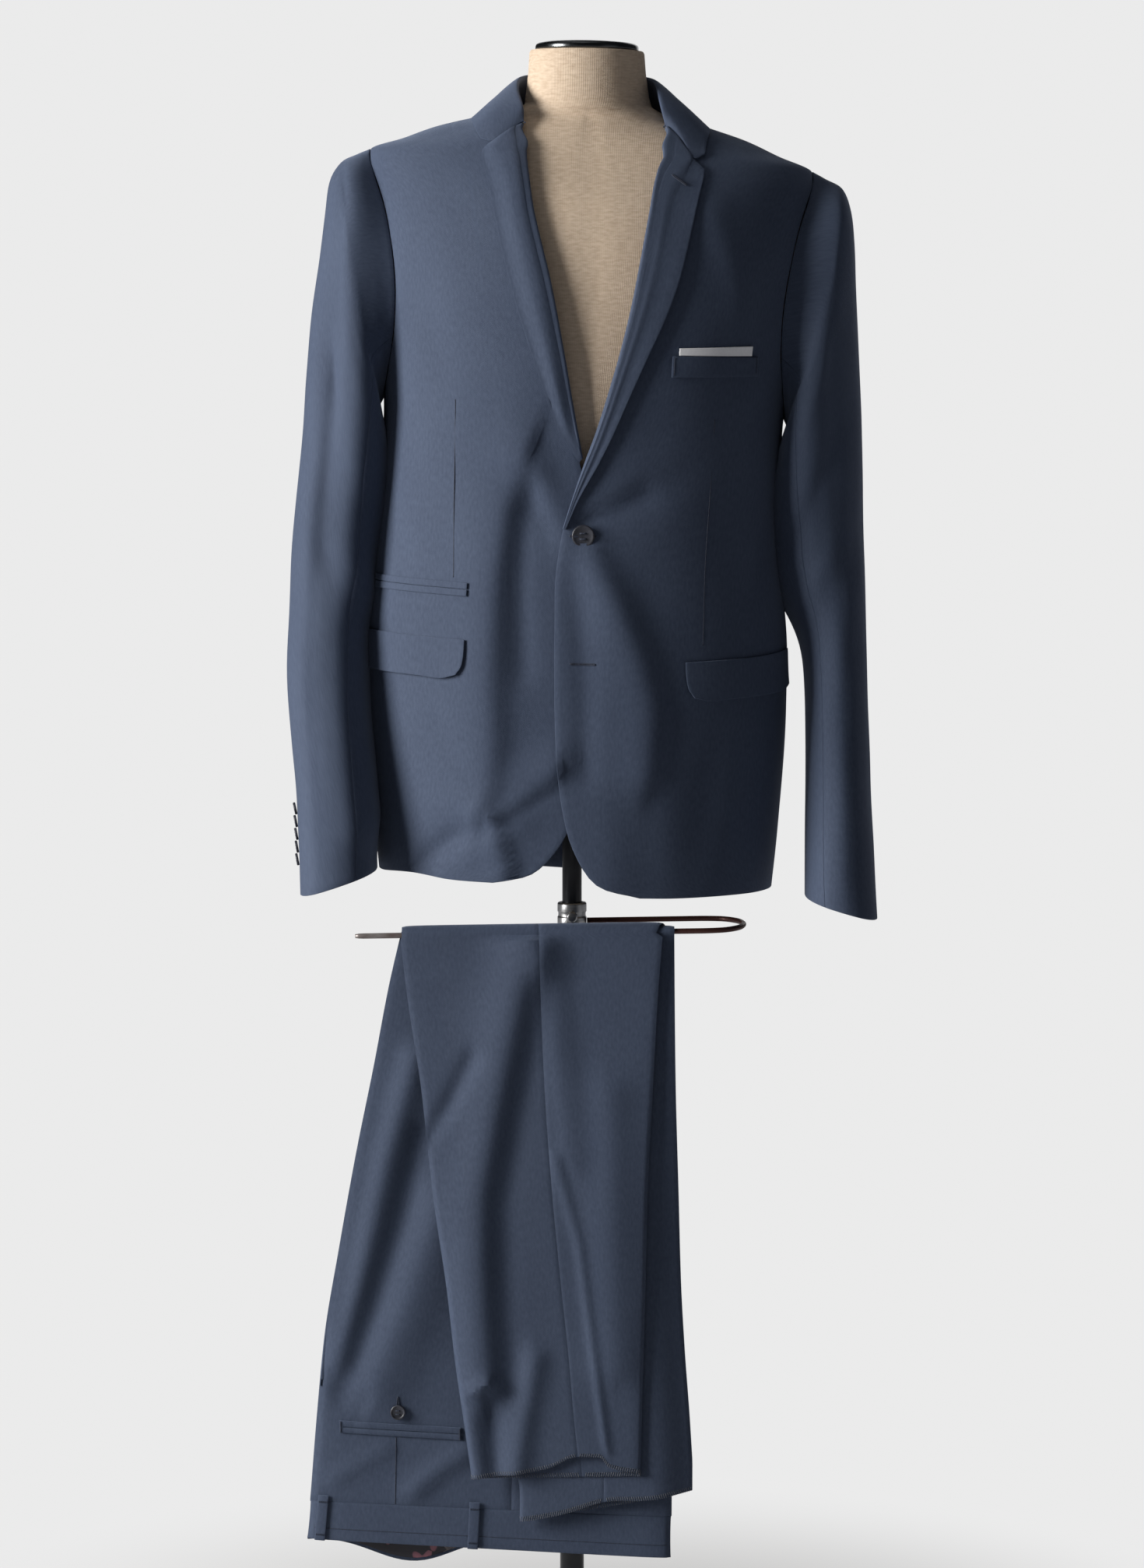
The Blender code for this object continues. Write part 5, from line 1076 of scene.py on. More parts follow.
def cuff_buttons(side, word, coarse):
    outer, out = sleeve_skin(coarse, side)
    k = int(CUFF_BUTTON_TURN[side])
    t = CUFF_BUTTON_TURN[side] - k
    line, away = [(g[:, k] * (1 - t) + g[:, (k + 1) % ARM_CELLS] * t)[::-1] for g in (outer, out)]
    walk = walked(line)
    for n in range(CUFF_BUTTONS):
        at = CUFF_BUTTON_START + CUFF_BUTTON_STEP * n
        way = unit(sampled(at, walk, away))
        spot = settle(sampled(at, walk, line) + way * CUFF_BUTTON_LIFT)
        sewn_button("cuff_button_%s_%d" % (word, n + 1), CUFF_BUTTON_RADIUS,
                    frame_at(spot, way + (0, 0, -0.14)))


def sleeves():
    for side, word in SIDES:
        coarse = sleeve_rings(side)
        grid = finer(coarse, SLEEVE_UP, SLEEVE_ACROSS, True)
        outer, out = sleeve_skin(grid, side, SLEEVE_UP, SLEEVE_ACROSS)
        for piece, first, last in SLEEVE_PANELS:
            picks = np.arange(first * SLEEVE_ACROSS, last * SLEEVE_ACROSS + 1)
            picks %= ARM_CELLS * SLEEVE_ACROSS
            wall(piece + word, *[settle(drawn_in(g[:, picks], "lr")[::-side])
                                 for g in (outer, outer - out * JACKET_WALL)])
        cuff_buttons(side, word, coarse)


sleeves()

# ---------------------------------------------------------------- lapels
# Each lapel is its front turned back on a soft roll and faced in the same wool. The cloth goes
# round the roll and a little way inside. The left one has a worked buttonhole near its notch.

LAPEL_EDGE = {
    1: [(-0.0112, 1.111), (-0.0027, 1.134), (0.0153, 1.1714), (0.0281, 1.2013), (0.0391, 1.23),
        (0.052, 1.2629), (0.065, 1.2956), (0.076, 1.3286), (0.0846, 1.3657), (0.0939, 1.4072),
        (0.0998, 1.4342)],
    -1: [(0.0022, 1.17), (0.0223, 1.1986), (0.0423, 1.2479), (0.0562, 1.2832), (0.0688, 1.3189),
         (0.0843, 1.3748), (0.0957, 1.4254), (0.0978, 1.4395)]}
LAPEL_START = {1: 1.1110, -1: 1.1740}
NOTCH = {1: (0.0901, 1.4429), -1: (0.0866, 1.4495)}
LAPEL_HALF = 0.0008      # half the thickness of the turned-back cloth
# Round the roll, from inside the front to the flat of the lapel: metres from the roll, lift
ROLL_SECTION = [(0.0075, -0.0032), (0.0052, -0.0034), (0.003, -0.0034), (0.0012, -0.0027),
                (0.0001, -0.0012), (-0.0003, 0.0006), (0.0002, 0.0022), (0.0014, 0.0034)]


def lapel_pattern(side):
    """Lapel from its roll line to its edge, its top along the gorge and then the step."""
    x, z = np.array(ROLL[side]).T
    start = LAPEL_START[side]
    roll = [(np.interp(start, z, x), start)] + [p for p in ROLL[side] if p[1] > start + 0.004]
    left = trace(on_front(roll), 60)
    right = trace(on_front(LAPEL_EDGE[side]), 60)
    gorge = trace(on_front([roll[-1], NOTCH[side]]), 30)
    step = trace(on_front([NOTCH[side], LAPEL_EDGE[side][-1]]), 14)
    return filled(trace([left[0], right[0]], 44), joined(gorge, step), left, right)


def lapel_lift(side, z, share, away):
    """How far the lapel stands off its front; share runs from the roll to the edge."""
    rise = ease((z - LAPEL_START[side]) / 0.05)
    if side < 0:
        crest = (1 - np.exp(-(away / 0.0085) ** 2)) * (1 - 0.85 * ease((share - 0.45) / 0.5))
        return 0.0005 + 0.0034 * crest * rise
    puff = 0.0014 * (1 - 0.7 * ease((share - 0.40) / 0.4))
    bulge = 0.0012 * (1 - 0.75 * ease((z - 1.30) / 0.13)) * (1 - ease((share - 0.45) / 0.4))
    stand = 0.0024 * ease((share - 0.3) / 0.7) * (1 - ease((z - 1.33) / 0.10))
    return 0.0005 + (puff + bulge + stand) * rise


def lapels():
    for side, word in SIDES:
        g = lapel_pattern(side)
        angle = g[..., 0] * side
        z = g[..., 1]
        last = g.shape[1] - 1
        share = np.arange(last + 1)[None, :] / last
        ends = body(angle[:, [0, -1]], z[:, [0, -1]], 0.0)
        low = lapel_lift(side, z, share, share * np.linalg.norm(np.diff(ends, axis=1), axis=-1))
        flat = body(angle, z, low + LAPEL_HALF, side)
        up = unit(body(angle, z, low + LAPEL_HALF + 0.01, side) - flat)[:, 0]
        start = body(angle[:, 0], z[:, 0], 0.0, side)
        toward = unit(squared(flat[:, 4] - flat[:, 0], up))
        width = np.linalg.norm(flat[:, -1] - flat[:, 0], axis=-1)
        size = np.clip(width / 0.024, 0.12, 1.0 if side > 0 else 0.5)[:, None]
        gorge = (1 - 0.75 * ease((z[:, 0] - 1.425) / 0.03))[:, None]
        turned_in = [start + toward * off * size + up * (lift * size * (1 if lift > 0 else gorge))
                     for off, lift in ROLL_SECTION]
        first = 1 + int(np.ceil(0.0040 / (np.median(width) / last)))
        bend = np.concatenate([np.stack(turned_in, axis=1), flat[:, first:first + 2]], axis=1)
        bend = finer(bend, 1, 3)[:, :(len(ROLL_SECTION) + 1) * 3 + 1]
        centre = np.concatenate([bend, flat[:, first + 2:]], axis=1)
        out = unit(np.cross(np.gradient(centre, axis=1), np.gradient(centre, axis=0)) * side)
        wall("lapel_" + word, *[settle(drawn_in(centre + out * half, "t"))[:, ::side]
                                for half in (LAPEL_HALF, -LAPEL_HALF)])


def worked_hole(name, ends, lift, side, size=0.00055, gap=0.0011):
    """Buttonhole: a narrow loop of close stitches round a cut."""
    (x0, z0), (x1, z1) = ends
    length = math.hypot(x1 - x0, z1 - z0)
    ax, az = (x1 - x0) / length, (z1 - z0) / length
    rows = []
    for k in range(49):
        c, s = math.cos(2 * math.pi * k / 48), math.sin(2 * math.pi * k / 48)
        along = 0.5 * length * (1 - abs(c) ** 0.35 * math.copysign(1, c))
        across = gap * 0.5 * math.copysign(abs(s) ** 0.5, s)
        rows.append((x0 + ax * along - az * across, z0 + az * along + ax * across))
    stitched(name, [on_body(rows, lift, side)], size, 7, NAVY_THREAD)


lapels()
worked_hole("lapel_buttonhole_left", [(0.0711, 1.4264), (0.0833, 1.4180)], 0.0037, 1)

# ---------------------------------------------------------------- collar
# Stand and leaf in one folded strip of wool from notch to notch; it rolls over round the neck and
# its leaf comes down over the neck seam and meets the lapels at the gorge.

COLLAR_WALL = 0.0014
GORGE_GAP = 0.0009       # air between the collar's edge and the lapel at the gorge seam
COLLAR_TIP = {1: (0.1012, 1.4478), -1: (0.0988, 1.4523)}
# Collar from the notch (0) round to the centre back (6): roll x, roll y, roll z, leaf edge degrees
# and z on the body, stand foot degrees and z on the body
COLLAR = [
    (0, 0.0672, -0.06, 1.474, 36, 1.453, 33, 1.4718),
    (1, 0.0655, -0.048, 1.488, 45, 1.4635, 53, 1.4805),
    (2, 0.064, -0.029, 1.501, 62, 1.4715, 72, 1.4839),
    (3, 0.0615, -0.001, 1.512, 90, 1.479, 90, 1.4862),
    (4, 0.053, 0.031, 1.517, 125, 1.4755, 125, 1.4843),
    (5, 0.031, 0.0545, 1.5205, 154, 1.4725, 152, 1.4822),
    (6, 0, 0.0625, 1.522, 180, 1.4712, 180, 1.4811)]
COLLAR_ENDS = ((0, 1), (-1, -1))
# Lifts of the collar's section where it meets the lapel
GORGE_LIFTS = np.array([0.0014, 0.0018, 0.0022, 0.0024, 0.0022, 0.0019])


def collar_section(side, t):
    """Folded section of the collar: stand foot, stand, roll, leaf, leaf edge."""
    rx, ry, rz, edge_turn, edge_z, foot_turn, foot_z = [float(through(COLLAR, c, t))
                                                        for c in range(1, 8)]
    rise = min(1.0, max(0.0, (rz - 1.474) / 0.020))
    edge = body(math.radians(edge_turn), edge_z, 0.0019)
    foot = body(math.radians(foot_turn), foot_z, -0.0008 + 0.0020 * (1 - rise))
    roll = np.array([rx, ry, rz])
    stand = foot * 0.42 + roll * 0.58 + (0, 0, -0.0010 * rise)
    near = roll + (edge - roll) * (0.14, 0.14, 0.04) + (0, 0, 0.0006)
    middle = roll * 0.45 + edge * 0.55 + (0, 0, 0.0036 * rise + 0.0006)
    return np.array([foot, stand, roll, near, middle, edge]) * (side, 1, 1)


def gorge_line(side):
    """Section of the collar's end along the lapel's top, and its outward directions."""
    gorge = trace(on_front([ROLL[side][-1], NOTCH[side]]), 15)
    start = gorge[0]
    ends = np.array([start + (-0.020, 0.0), start + (-0.010, 0.0), start, gorge[7], gorge[15],
                     on_front([COLLAR_TIP[side]])[0]])
    line, high = [body(ends[:, 0] * side, ends[:, 1], GORGE_LIFTS + more) for more in (0, 0.01)]
    facing = unit(high - line)
    upward = unit(np.cross(facing, np.gradient(line, axis=0)) * side)
    upward[-1] = 0.0
    return line + upward * GORGE_GAP, facing


def collar():
    turns = np.linspace(0, 6, 10)
    g = np.stack([collar_section(1, t) for t in turns]
                 + [collar_section(-1, t) for t in turns[-2::-1]])
    for row, toward in ((-2, 0.0060), (-3, 0.0042), (-4, 0.0015)):
        g[row, 1:4, 0] += toward
    facing = {}
    for end, side in COLLAR_ENDS:
        g[end], facing[end] = gorge_line(side)
    g = finer(g, 8, 6)
    out = unit(np.cross(np.gradient(g, axis=1), np.gradient(g, axis=0)))
    for end, step in COLLAR_ENDS:
        flat = finer(facing[end][None], 1, 6)[0]
        for k in range(8):
            out[end + step * k] = out[end + step * k] * k / 8 + flat * (1 - k / 8)
    out = unit(out) * COLLAR_WALL / 2
    wall("collar", settle(g + out), settle(g - out))


collar()

# ---------------------------------------------------------------- pockets
# Flap pockets at the hips, a double-jetted ticket pocket above the wearer's right one, and a breast
# welt on the wearer's left with a white square folded flat inside it.

# Hip pocket flaps: top edge at the front and rear, depth, and how far each row hangs out
FLAP_FRONT = {1: 0.9965, -1: 1.0070}
FLAP_REAR = 1.0080
FLAP_DEEP = 0.0355
FLAP_HANG = np.array([[0.0022], [0.0014], [0.0008], [0.0004]])
# Ticket pocket jets: node, lower edge, upper edge
TICKET_JETS = (("ticket_pocket_lower_jet", 1.0460, 1.0518),
               ("ticket_pocket_upper_jet", 1.0524, 1.0580))
TICKET_RISE = 0.0006
# Breast pocket: (x, z) of the low edge left and right and of the top edge left and right
WELT = ((0.0755, 1.2494), (0.1525, 1.2543), (0.0755, 1.2682), (0.1525, 1.2712))
SQUARE = ((0.0812, 1.2690), (0.1468, 1.2720), (0.0812, 1.2755), (0.1468, 1.2808))
WELT_ENDS = (("front", 0.0772, 1.2505), ("rear", 0.1509, 1.2552))
WHITE = woven("white cotton square", (0.86, 0.87, 0.89), (0.95, 0.95, 0.96), 0.0008, 0.0, 0.3,
              0.8, 0.1, (1, 1, 1))


def patch(c, cols, rows):
    """Pattern grid between four (angle, z) corners: low left, low right, top left, top right."""
    return filled(trace([c[0], c[1]], cols), trace([c[2], c[3]], cols),
                  trace([c[0], c[2]], rows), trace([c[1], c[3]], rows))


def between(fore, aft, low, top, slant, cols, rows):
    """Pattern grid between two places in degrees, its low and top edges rising to the rear."""
    corners = (fore[0], low), (aft, low + slant), (fore[1], top), (aft, top + slant)
    return patch([(math.radians(a), z) for a, z in corners], cols, rows)


def pockets():
    for side, word in SIDES:
        front = FLAP_FRONT[side]
        low = front - FLAP_DEEP
        g = between((29.5, 29), 77, low, front, FLAP_REAR - front, 7, 3)
        g[0, 0] = (math.radians(31.5), low + 0.0035)
        g[0, 1, 1] -= 0.0006
        g[0, -1, 1] += 0.0030
        g[1, 0, 0] = math.radians(29.8)
        cloth("pocket_flap_" + word, g, side, "", FLAP_HANG + 0.0004, FLAP_HANG + 0.0020, 0, 6, 8)
    for name, bottom, top in TICKET_JETS:
        g = between((29, 29), 68, bottom, top, TICKET_RISE, 6, 1)
        cloth(name, g, -1, "", 0.0007, 0.0020, 0, 4, 8)
    for name, corners, low, high, look, material_slot in (
            ("breast_welt", WELT, 0.0007, 0.0026, NAVY, "wool"),
            ("pocket_square", SQUARE, 0.0008, 0.0024, WHITE, "square")):
        cloth(name, patch(on_front(corners), 5, 1), 1, "", low, high, 0, 6, 10, look, material_slot)
    for word, x, z in WELT_ENDS:
        laid_thread("breast_welt_stitching_" + word, [(x, z + 0.001), (x, z + 0.0165)], 0.00028,
                    0.0028)


pockets()

# ---------------------------------------------------------------- front buttons
# Two dark four-hole buttons on the fronts: the upper one fastened through its hole, the lower one
# left open beneath its worked buttonhole.


def front_button(node_name, x, z, radius, lift, side):
    base, high = [on_body([(x, z)], v, side)[0] for v in (lift, lift + 0.01)]
    sewn_button(node_name, radius, frame_at(base, high - base))


front_button("front_button", 0.0044, 1.1054, 0.0102, 0.0009, 1)
front_button("lower_front_button", 0.0010, 0.9900, 0.0092, 0.0006, -1)
worked_hole("upper_front_buttonhole", [(-0.0075, 1.1050), (0.0155, 1.1054)], 0.0003, 1)
worked_hole("lower_front_buttonhole", [(-0.0052, 0.9908), (0.0167, 0.9914)], 0.0003, 1)

# ---------------------------------------------------------------- trousers
# Two legs laid together on their pressed creases and hung over the bar, the wearer's left leg
# innermost. Each leg is a front and a back panel sewn at its side seam and inseam. The hems are
# raw and overlocked.

TROUSER_WALL = 0.0010
# Front fall: drop below the bar; left edge, seam and right edge of the outer leg, then of the inner
FRONT_FALL = [
    (0, -0.156, -0.03, 0.0825, -0.152, -0.031, 0.093),
    (0.06, -0.149, -0.0285, 0.078, -0.143, -0.029, 0.0935),
    (0.136, -0.1377, -0.0254, 0.0741, -0.13, -0.025, 0.0945),
    (0.24, -0.1265, -0.018, 0.069, -0.108, -0.014, 0.0975),
    (0.325, -0.1145, -0.01, 0.0672, -0.089, -0.003, 0.1),
    (0.396, -0.1066, -0.003, 0.0654, -0.073, 0.008, 0.104),
    (0.45, -0.099, 0.001, 0.064, -0.06, 0.016, 0.108),
    (0.498, -0.0925, 0.005, 0.0628, -0.048, 0.025, 0.111)]
# Back fall: drop below the bar, left edge, side seam, right edge, opening of the hip tube
BACK_FALL = [
    (0, -0.156, -0.032, 0.093, 0), (0.045, -0.1665, -0.035, 0.0935, 0),
    (0.12, -0.181, -0.04, 0.0938, 0), (0.2, -0.1975, -0.045, 0.0938, 0),
    (0.29, -0.214, -0.049, 0.0935, 0.002),
    (0.37, -0.2275, -0.052, 0.093, 0.006), (0.45, -0.2355, -0.054, 0.0925, 0.011),
    (0.528, -0.242, -0.056, 0.092, 0.016), (0.572, -0.2462, -0.056, 0.0918, 0.018)]
WAIST_DROP = 0.525
BAND_DROP = 0.561
WAIST_SKEW = 0.062
CROTCH_DROP = 0.330
SEAT_DROP = 0.420
HEM_DROP = {"inner": 0.527, "outer": 0.502}
# Legs: place in the fold, wearer's side, which way its outer face looks
LEGS = (("inner", "left", -1.0), ("outer", "right", 1.0))
# Rows of a leg's pattern on the front fall, over the bar and on the back fall
FRONT_ROWS = 84
OVER_ROWS = 21
BACK_ROWS = 88
# Section of a folded leg from its seam to its crease: share of the way, share of the thickness
CREASE = [(0, 1), (0.42, 1), (0.8, 0.92), (0.96, 0.6), (1, 0)]
# Places across one face of a leg, from the seam to the crease, closer together near the crease
SHARES = 1 - (1 - np.linspace(0, 1, 33)) ** 1.5
FULL = through(CREASE, 1, SHARES)
# Rise of the right leg's near hem above its far one: x, rise
HEM_RISE = [(-0.0925, 0), (-0.046, 0.0055), (-0.022, 0.0095), (0.005, 0.02), (0.026, 0.019),
            (0.0335, 0.01), (0.063, 0.003)]
# Soft folds of each leg's falls: width at the left and right, height, (x, drop) down the line
LEG_FOLDS = {
    ("outer", "front"): [
        (0.03, 0.022, 0.009, ((-0.037, 0.012), (-0.052, 0.077), (-0.07, 0.162), (-0.083, 0.23),
                              (-0.085, 0.3), (-0.08, 0.41))),
        (0.014, 0.014, -0.004, ((-0.03, 0.054), (-0.051, 0.162), (-0.066, 0.248), (-0.064, 0.346),
                                (-0.058, 0.42))),
        (0.01, 0.02, 0.0022, ((-0.026, 0.022), (-0.014, 0.105), (-0.002, 0.2))),
        (0.012, 0.016, -0.0008, ((0, 0.04), (0.011, 0.117), (0.02, 0.22))),
        (0.0035, 0.005, 0.002, ((-0.016, 0.205), (0.006, 0.285), (0.031, 0.485))),
        (0.022, 0.02, 0.004, ((0.034, 0.15), (0.036, 0.25), (0.04, 0.4))),
        (0.008, 0.009, -0.0036, ((-0.134, 0.188), (-0.112, 0.156), (-0.09, 0.112))),
        (0.005, 0.006, 0.0046, ((-0.102, 0.424), (-0.077, 0.411))),
        (0.006, 0.011, 0.0036, ((-0.096, 0.444), (-0.088, 0.5))),
        (0.01, 0.01, -0.0032, ((-0.074, 0.432), (-0.07, 0.5))),
        (0.013, 0.011, 0.0044, ((-0.034, 0.392), (-0.044, 0.45), (-0.052, 0.505))),
        (0.004, 0.004, 0.0008, ((-0.152, 0.042), (-0.106, 0.037)))],
    ("inner", "front"): [(0.012, 0.01, 0.0016, ((-0.01, 0.44), (0.004, 0.525)))],
    ("inner", "back"): [
        (0.013, 0.015, 0.006, ((-0.144, 0.114), (-0.17, 0.208), (-0.197, 0.328), (-0.214, 0.39))),
        (0.011, 0.012, -0.0034, ((-0.137, 0.182), (-0.158, 0.265), (-0.193, 0.369),
                                 (-0.212, 0.424))),
        (0.018, 0.03, 0.0064, ((-0.116, 0.242), (-0.152, 0.346), (-0.178, 0.41))),
        (0.008, 0.01, 0.0036, ((-0.146, 0.512), (-0.122, 0.49), (-0.096, 0.474))),
        (0.008, 0.009, 0.002, ((-0.22, 0.504), (-0.195, 0.488), (-0.17, 0.474)))],
    ("outer", "back"): [
        (0.02, 0.026, 0.0055, ((-0.1, 0.06), (-0.122, 0.18), (-0.15, 0.3))),
        (0.018, 0.014, 0.004, ((0.02, 0.05), (0.012, 0.19), (0.02, 0.34))),
        (0.024, 0.022, 0.0045, ((-0.19, 0.24), (-0.206, 0.35), (-0.214, 0.43))),
        (0.008, 0.01, 0.0022, ((-0.11, 0.505), (-0.06, 0.47), (-0.02, 0.455)))]}


def hung(place, amount, x, n):
    """Point at distance n from the bar's line on the front fall, over it or on the back fall."""
    if place == "front":
        y = BAR_Y - n
        z = bar_height(x) - amount
    elif place == "over":
        y = BAR_Y - n * np.cos(amount)
        z = bar_height(x) + n * np.sin(amount)
    else:
        y = BAR_Y + n
        z = bar_height(x) - amount - WAIST_SKEW * (x + 0.24) * (amount / WAIST_DROP) ** 2
    return np.stack([x, y, z], axis=-1)


def through_all(table, columns, at):
    return np.array([float(through(table, c, at)) for c in columns])


def leg_measure(leg, place, amount):
    """Edges and seam of a folded leg at one row, the distance of its middle, its half thickness,
    how far the two legs have joined into the hip, and how far the hip stands open."""
    inner = leg == "inner"
    swell = 0.0 if place == "over" else float(ease(amount / 0.30))
    front = through_all(FRONT_FALL, (4, 5, 6) if inner else (1, 2, 3), amount * (place == "front"))
    back = through_all(BACK_FALL, (1, 2, 3), amount * (place == "back"))
    share = {"front": 0.0, "over": amount / math.pi, "back": 1.0}[place]
    left, seam, right = front * (1 - share) + back * share
    seat = 0.0
    opening = 0.0
    half = 0.0014 + (0.0012 if place == "back" else 0.0016) * swell
    if place == "back":
        opening = float(through(BACK_FALL, 4, amount))
        seat = float(ease((amount - CROTCH_DROP) / (SEAT_DROP - CROTCH_DROP)))
        middle = (0.0044 + 0.0014 * swell) if inner else (0.0076 + 0.0040 * swell)
    else:
        middle = (0.0044 + 0.0018 * swell) if inner else (0.0076 + 0.0052 * swell)
    if place != "front" and not inner:
        left += 0.0015 * (1 - seat)
        right -= 0.0060 * (1 - seat)
    return left, seam, right, middle, half, seat, opening


def leg_section(leg, row, part, depth):
    """One panel's section from its side seam round the pressed crease to its inseam."""
    place, amount = row
    left, seam, right, middle, half, seat, opening = leg_measure(leg, place, amount)
    toward = -1.0 if leg == "inner" else 1.0
    edge = left if part == "back" else right
    joint = 0.0060 + 0.0027 * float(ease(amount / 0.30)) + toward * 0.0004
    fold = middle * (1 - seat) + joint * seat
    near = seam + (edge - seam) * SHARES
    far = seam + 0.004 + (edge - seam - 0.004) * SHARES[::-1][1:]
    rise = half - depth
    if toward > 0:
        share = np.minimum(1.0, np.abs(near - edge) / 0.10)
        rise = rise + 2 * opening * np.sin(share * math.pi / 2)
    for wide_left, wide_right, height, points in LEG_FOLDS.get((leg, place), ()):
        rise = rise + height * ridge(points, wide_left, wide_right, near, amount)
    near_n = fold + (middle + toward * rise - fold) * FULL
    far_n = middle - toward * (half - depth) * FULL[::-1][1:]
    near = near + math.copysign(depth, seam - edge) * (1 - FULL)
    xs = np.concatenate([near, far])
    ns = np.concatenate([near_n, far_n])
    amounts = np.full(len(xs), float(amount))
    lower = np.arange(len(xs)) < len(SHARES)
    if (leg, place) == ("inner", "front"):
        grown = (amount / HEM_DROP[leg]) ** 3
        amounts += (0.015 - 0.153 * (xs + 0.032)) * grown
        amounts -= 0.006 * np.exp(-((xs - 0.030) / 0.028) ** 2) * grown ** 3 * ~lower
        turned_back = ease((xs - (right - 0.040)) / 0.040) ** 1.5
        ns -= turned_back * (0.0035 + 0.0065 * float(ease((amount - 0.05) / 0.35)))
    if (leg, place) == ("outer", "front"):
        amounts -= through(HEM_RISE, 1, xs) * (amount / HEM_DROP[leg]) ** 6 * lower
    if (leg, place) == ("outer", "back"):
        amounts += 0.024 * np.exp(-((xs + 0.150) / 0.055) ** 2) * seat * (amount / WAIST_DROP) ** 2
    return hung(place, amounts, xs, ns)


def leg_rows(hem):
    """Rows from the hem up, over the bar and down to the waist seam."""
    rows = [("front", float(d)) for d in np.linspace(hem, 0.004, FRONT_ROWS)]
    rows += [("over", math.pi * k / (OVER_ROWS - 1)) for k in range(OVER_ROWS)]
    return rows + [("back", float(d)) for d in np.linspace(0.004, WAIST_DROP, BACK_ROWS)]


PALE_THREAD = thread_look("grey overlock thread", (0.045, 0.050, 0.065), (0.17, 0.175, 0.19))


def overlocked(name, outer, inner):
    """Overlock stitches thrown over a raw hem: outer and inner are the panel's lowest rows."""
    walk = walked(outer[0])

    def high(rows, s):
        return sampled(s, walk, rows[0]) * 0.35 + sampled(s, walk, rows[1]) * 0.65

    paths = []
    for s in np.arange(0.002, walk[-1] - 0.002, 0.0021):
        top, under, above = [sampled(s, walk, row) for row in (outer[0], inner[0], outer[1])]
        away = unit(top - under) * 0.0002
        down = unit(top - above) * 0.0003
        paths.append(np.array([high(outer, s + 0.0012) + away, top + away + down,
                               under - away + down, high(inner, s - 0.0012) - away]))
    stitched(name, paths, 0.00024, 4, PALE_THREAD, "wool")


def trouser_legs():
    last = len(SHARES) - 1
    for leg, word, _ in LEGS:
        rows = leg_rows(HEM_DROP[leg])
        for part in ("back", "front"):
            faces = [np.stack([leg_section(leg, r, part, depth) for r in rows])
                     for depth in (0.0, TROUSER_WALL)]
            keep = np.ones((len(rows) - 1, faces[0].shape[1] - 1), bool)
            for j, row in enumerate(rows[:-1]):
                if row[0] == "back" and rows[j + 1][1] > CROTCH_DROP:
                    deep = (rows[j + 1][1] - CROTCH_DROP) / (SEAT_DROP - CROTCH_DROP)
                    keep[j, last + int(round((1 - min(1.0, deep)) * last)):] = False
            faces = [drawn_in(face, "lrt") for face in faces]
            name = "trouser_%s_%s" % (word, part)
            overlocked(name + "_overlock", *faces)
            turn = -1 if (part == "back") == (leg == "inner") else 1
            wall(name, *[face[:, ::turn] for face in faces], keep=keep[:, ::turn], on="trouser_bar",
                 soft=0.0003)


trouser_legs()

# ---------------------------------------------------------------- waistband
# A band in two halves sewn along the top of the legs with a line of stitching along it, belt loops
# tacked over it, and a dark flowered lining inside that shows where the far half sags.

# Belt loops: shares of the way along each half of the band
LOOPS = {"inner": (0.034, 0.455), "outer": (0.30, 0.70)}
LOOP_WIDE = 0.0096
LOOP_WALL = 0.0011
# Drop and lift along a loop's path
LOOP_PATH = np.array([(WAIST_DROP - 0.006, 0.0004), (WAIST_DROP + 0.004, 0.0012),
                      (BAND_DROP - 0.004, 0.0012), (BAND_DROP + 0.0005, 0.0002)])
TACK_SIZE = 0.00022
PRINT_GROUND = (0.020, 0.018, 0.026)


def band_section(leg, amount, depth):
    """Waistband section from the centre back (left) to the centre front (right)."""
    back, front = [leg_section(leg, ("back", float(amount)), part, depth)[:len(SHARES)]
                   for part in ("back", "front")]
    return np.concatenate([back[::-1], front[1:]])


def at_x(line, x):
    """Points of a band section at given x."""
    return sampled(x, line[:, 0], line)


def flowered():
    """Dark lining printed with scattered five-petalled flowers in dusty pink and grey."""
    look, tree, shader = principled("dark flowered lining", 0.55)
    place = node(tree, "TexCoord").outputs["UV"]
    cells = node(tree, "TexVoronoi", voronoi_dimensions="2D")
    for key, value in (("Scale", 30.0), ("Randomness", 0.75)):
        cells.inputs[key].default_value = value
    tree.links.new(place, cells.inputs["Vector"])
    away = node(tree, "VectorMath", {0: place, 1: cells.outputs["Position"]}, operation="SUBTRACT")
    parts = node(tree, "SeparateXYZ", {0: away.outputs[0]})
    angle = maths(tree, "ARCTAN2", parts.outputs["Y"], parts.outputs["X"])
    petal = maths(tree, "SINE", maths(tree, "MULTIPLY", angle, 5.0))
    reach = maths(tree, "MULTIPLY_ADD", petal, -0.10, cells.outputs["Distance"])
    flower = ramp(tree, reach, (0.05, (0.30, 0.19, 0.15)), (0.09, (0.34, 0.13, 0.16)),
                  (0.30, (0.22, 0.09, 0.12)), (0.34, PRINT_GROUND))
    pale = ramp(tree, reach, (0.05, (0.10, 0.09, 0.10)), (0.20, (0.15, 0.13, 0.13)),
                (0.24, PRINT_GROUND))
    which = node(tree, "SeparateColor", {0: cells.outputs["Color"]})
    pink = maths(tree, "GREATER_THAN", which.outputs[0], 0.5)
    mix = node(tree, "Mix", {"Factor": pink, 6: pale, 7: flower}, data_type="RGBA")
    tree.links.new(mix.outputs[2], shader.inputs["Base Color"])
    raised(tree, shader, spots(tree, 1.0, 3, (900, 900, 1), "UV"), 0.15, 0.0002)
    return look


FLOWERED = flowered()


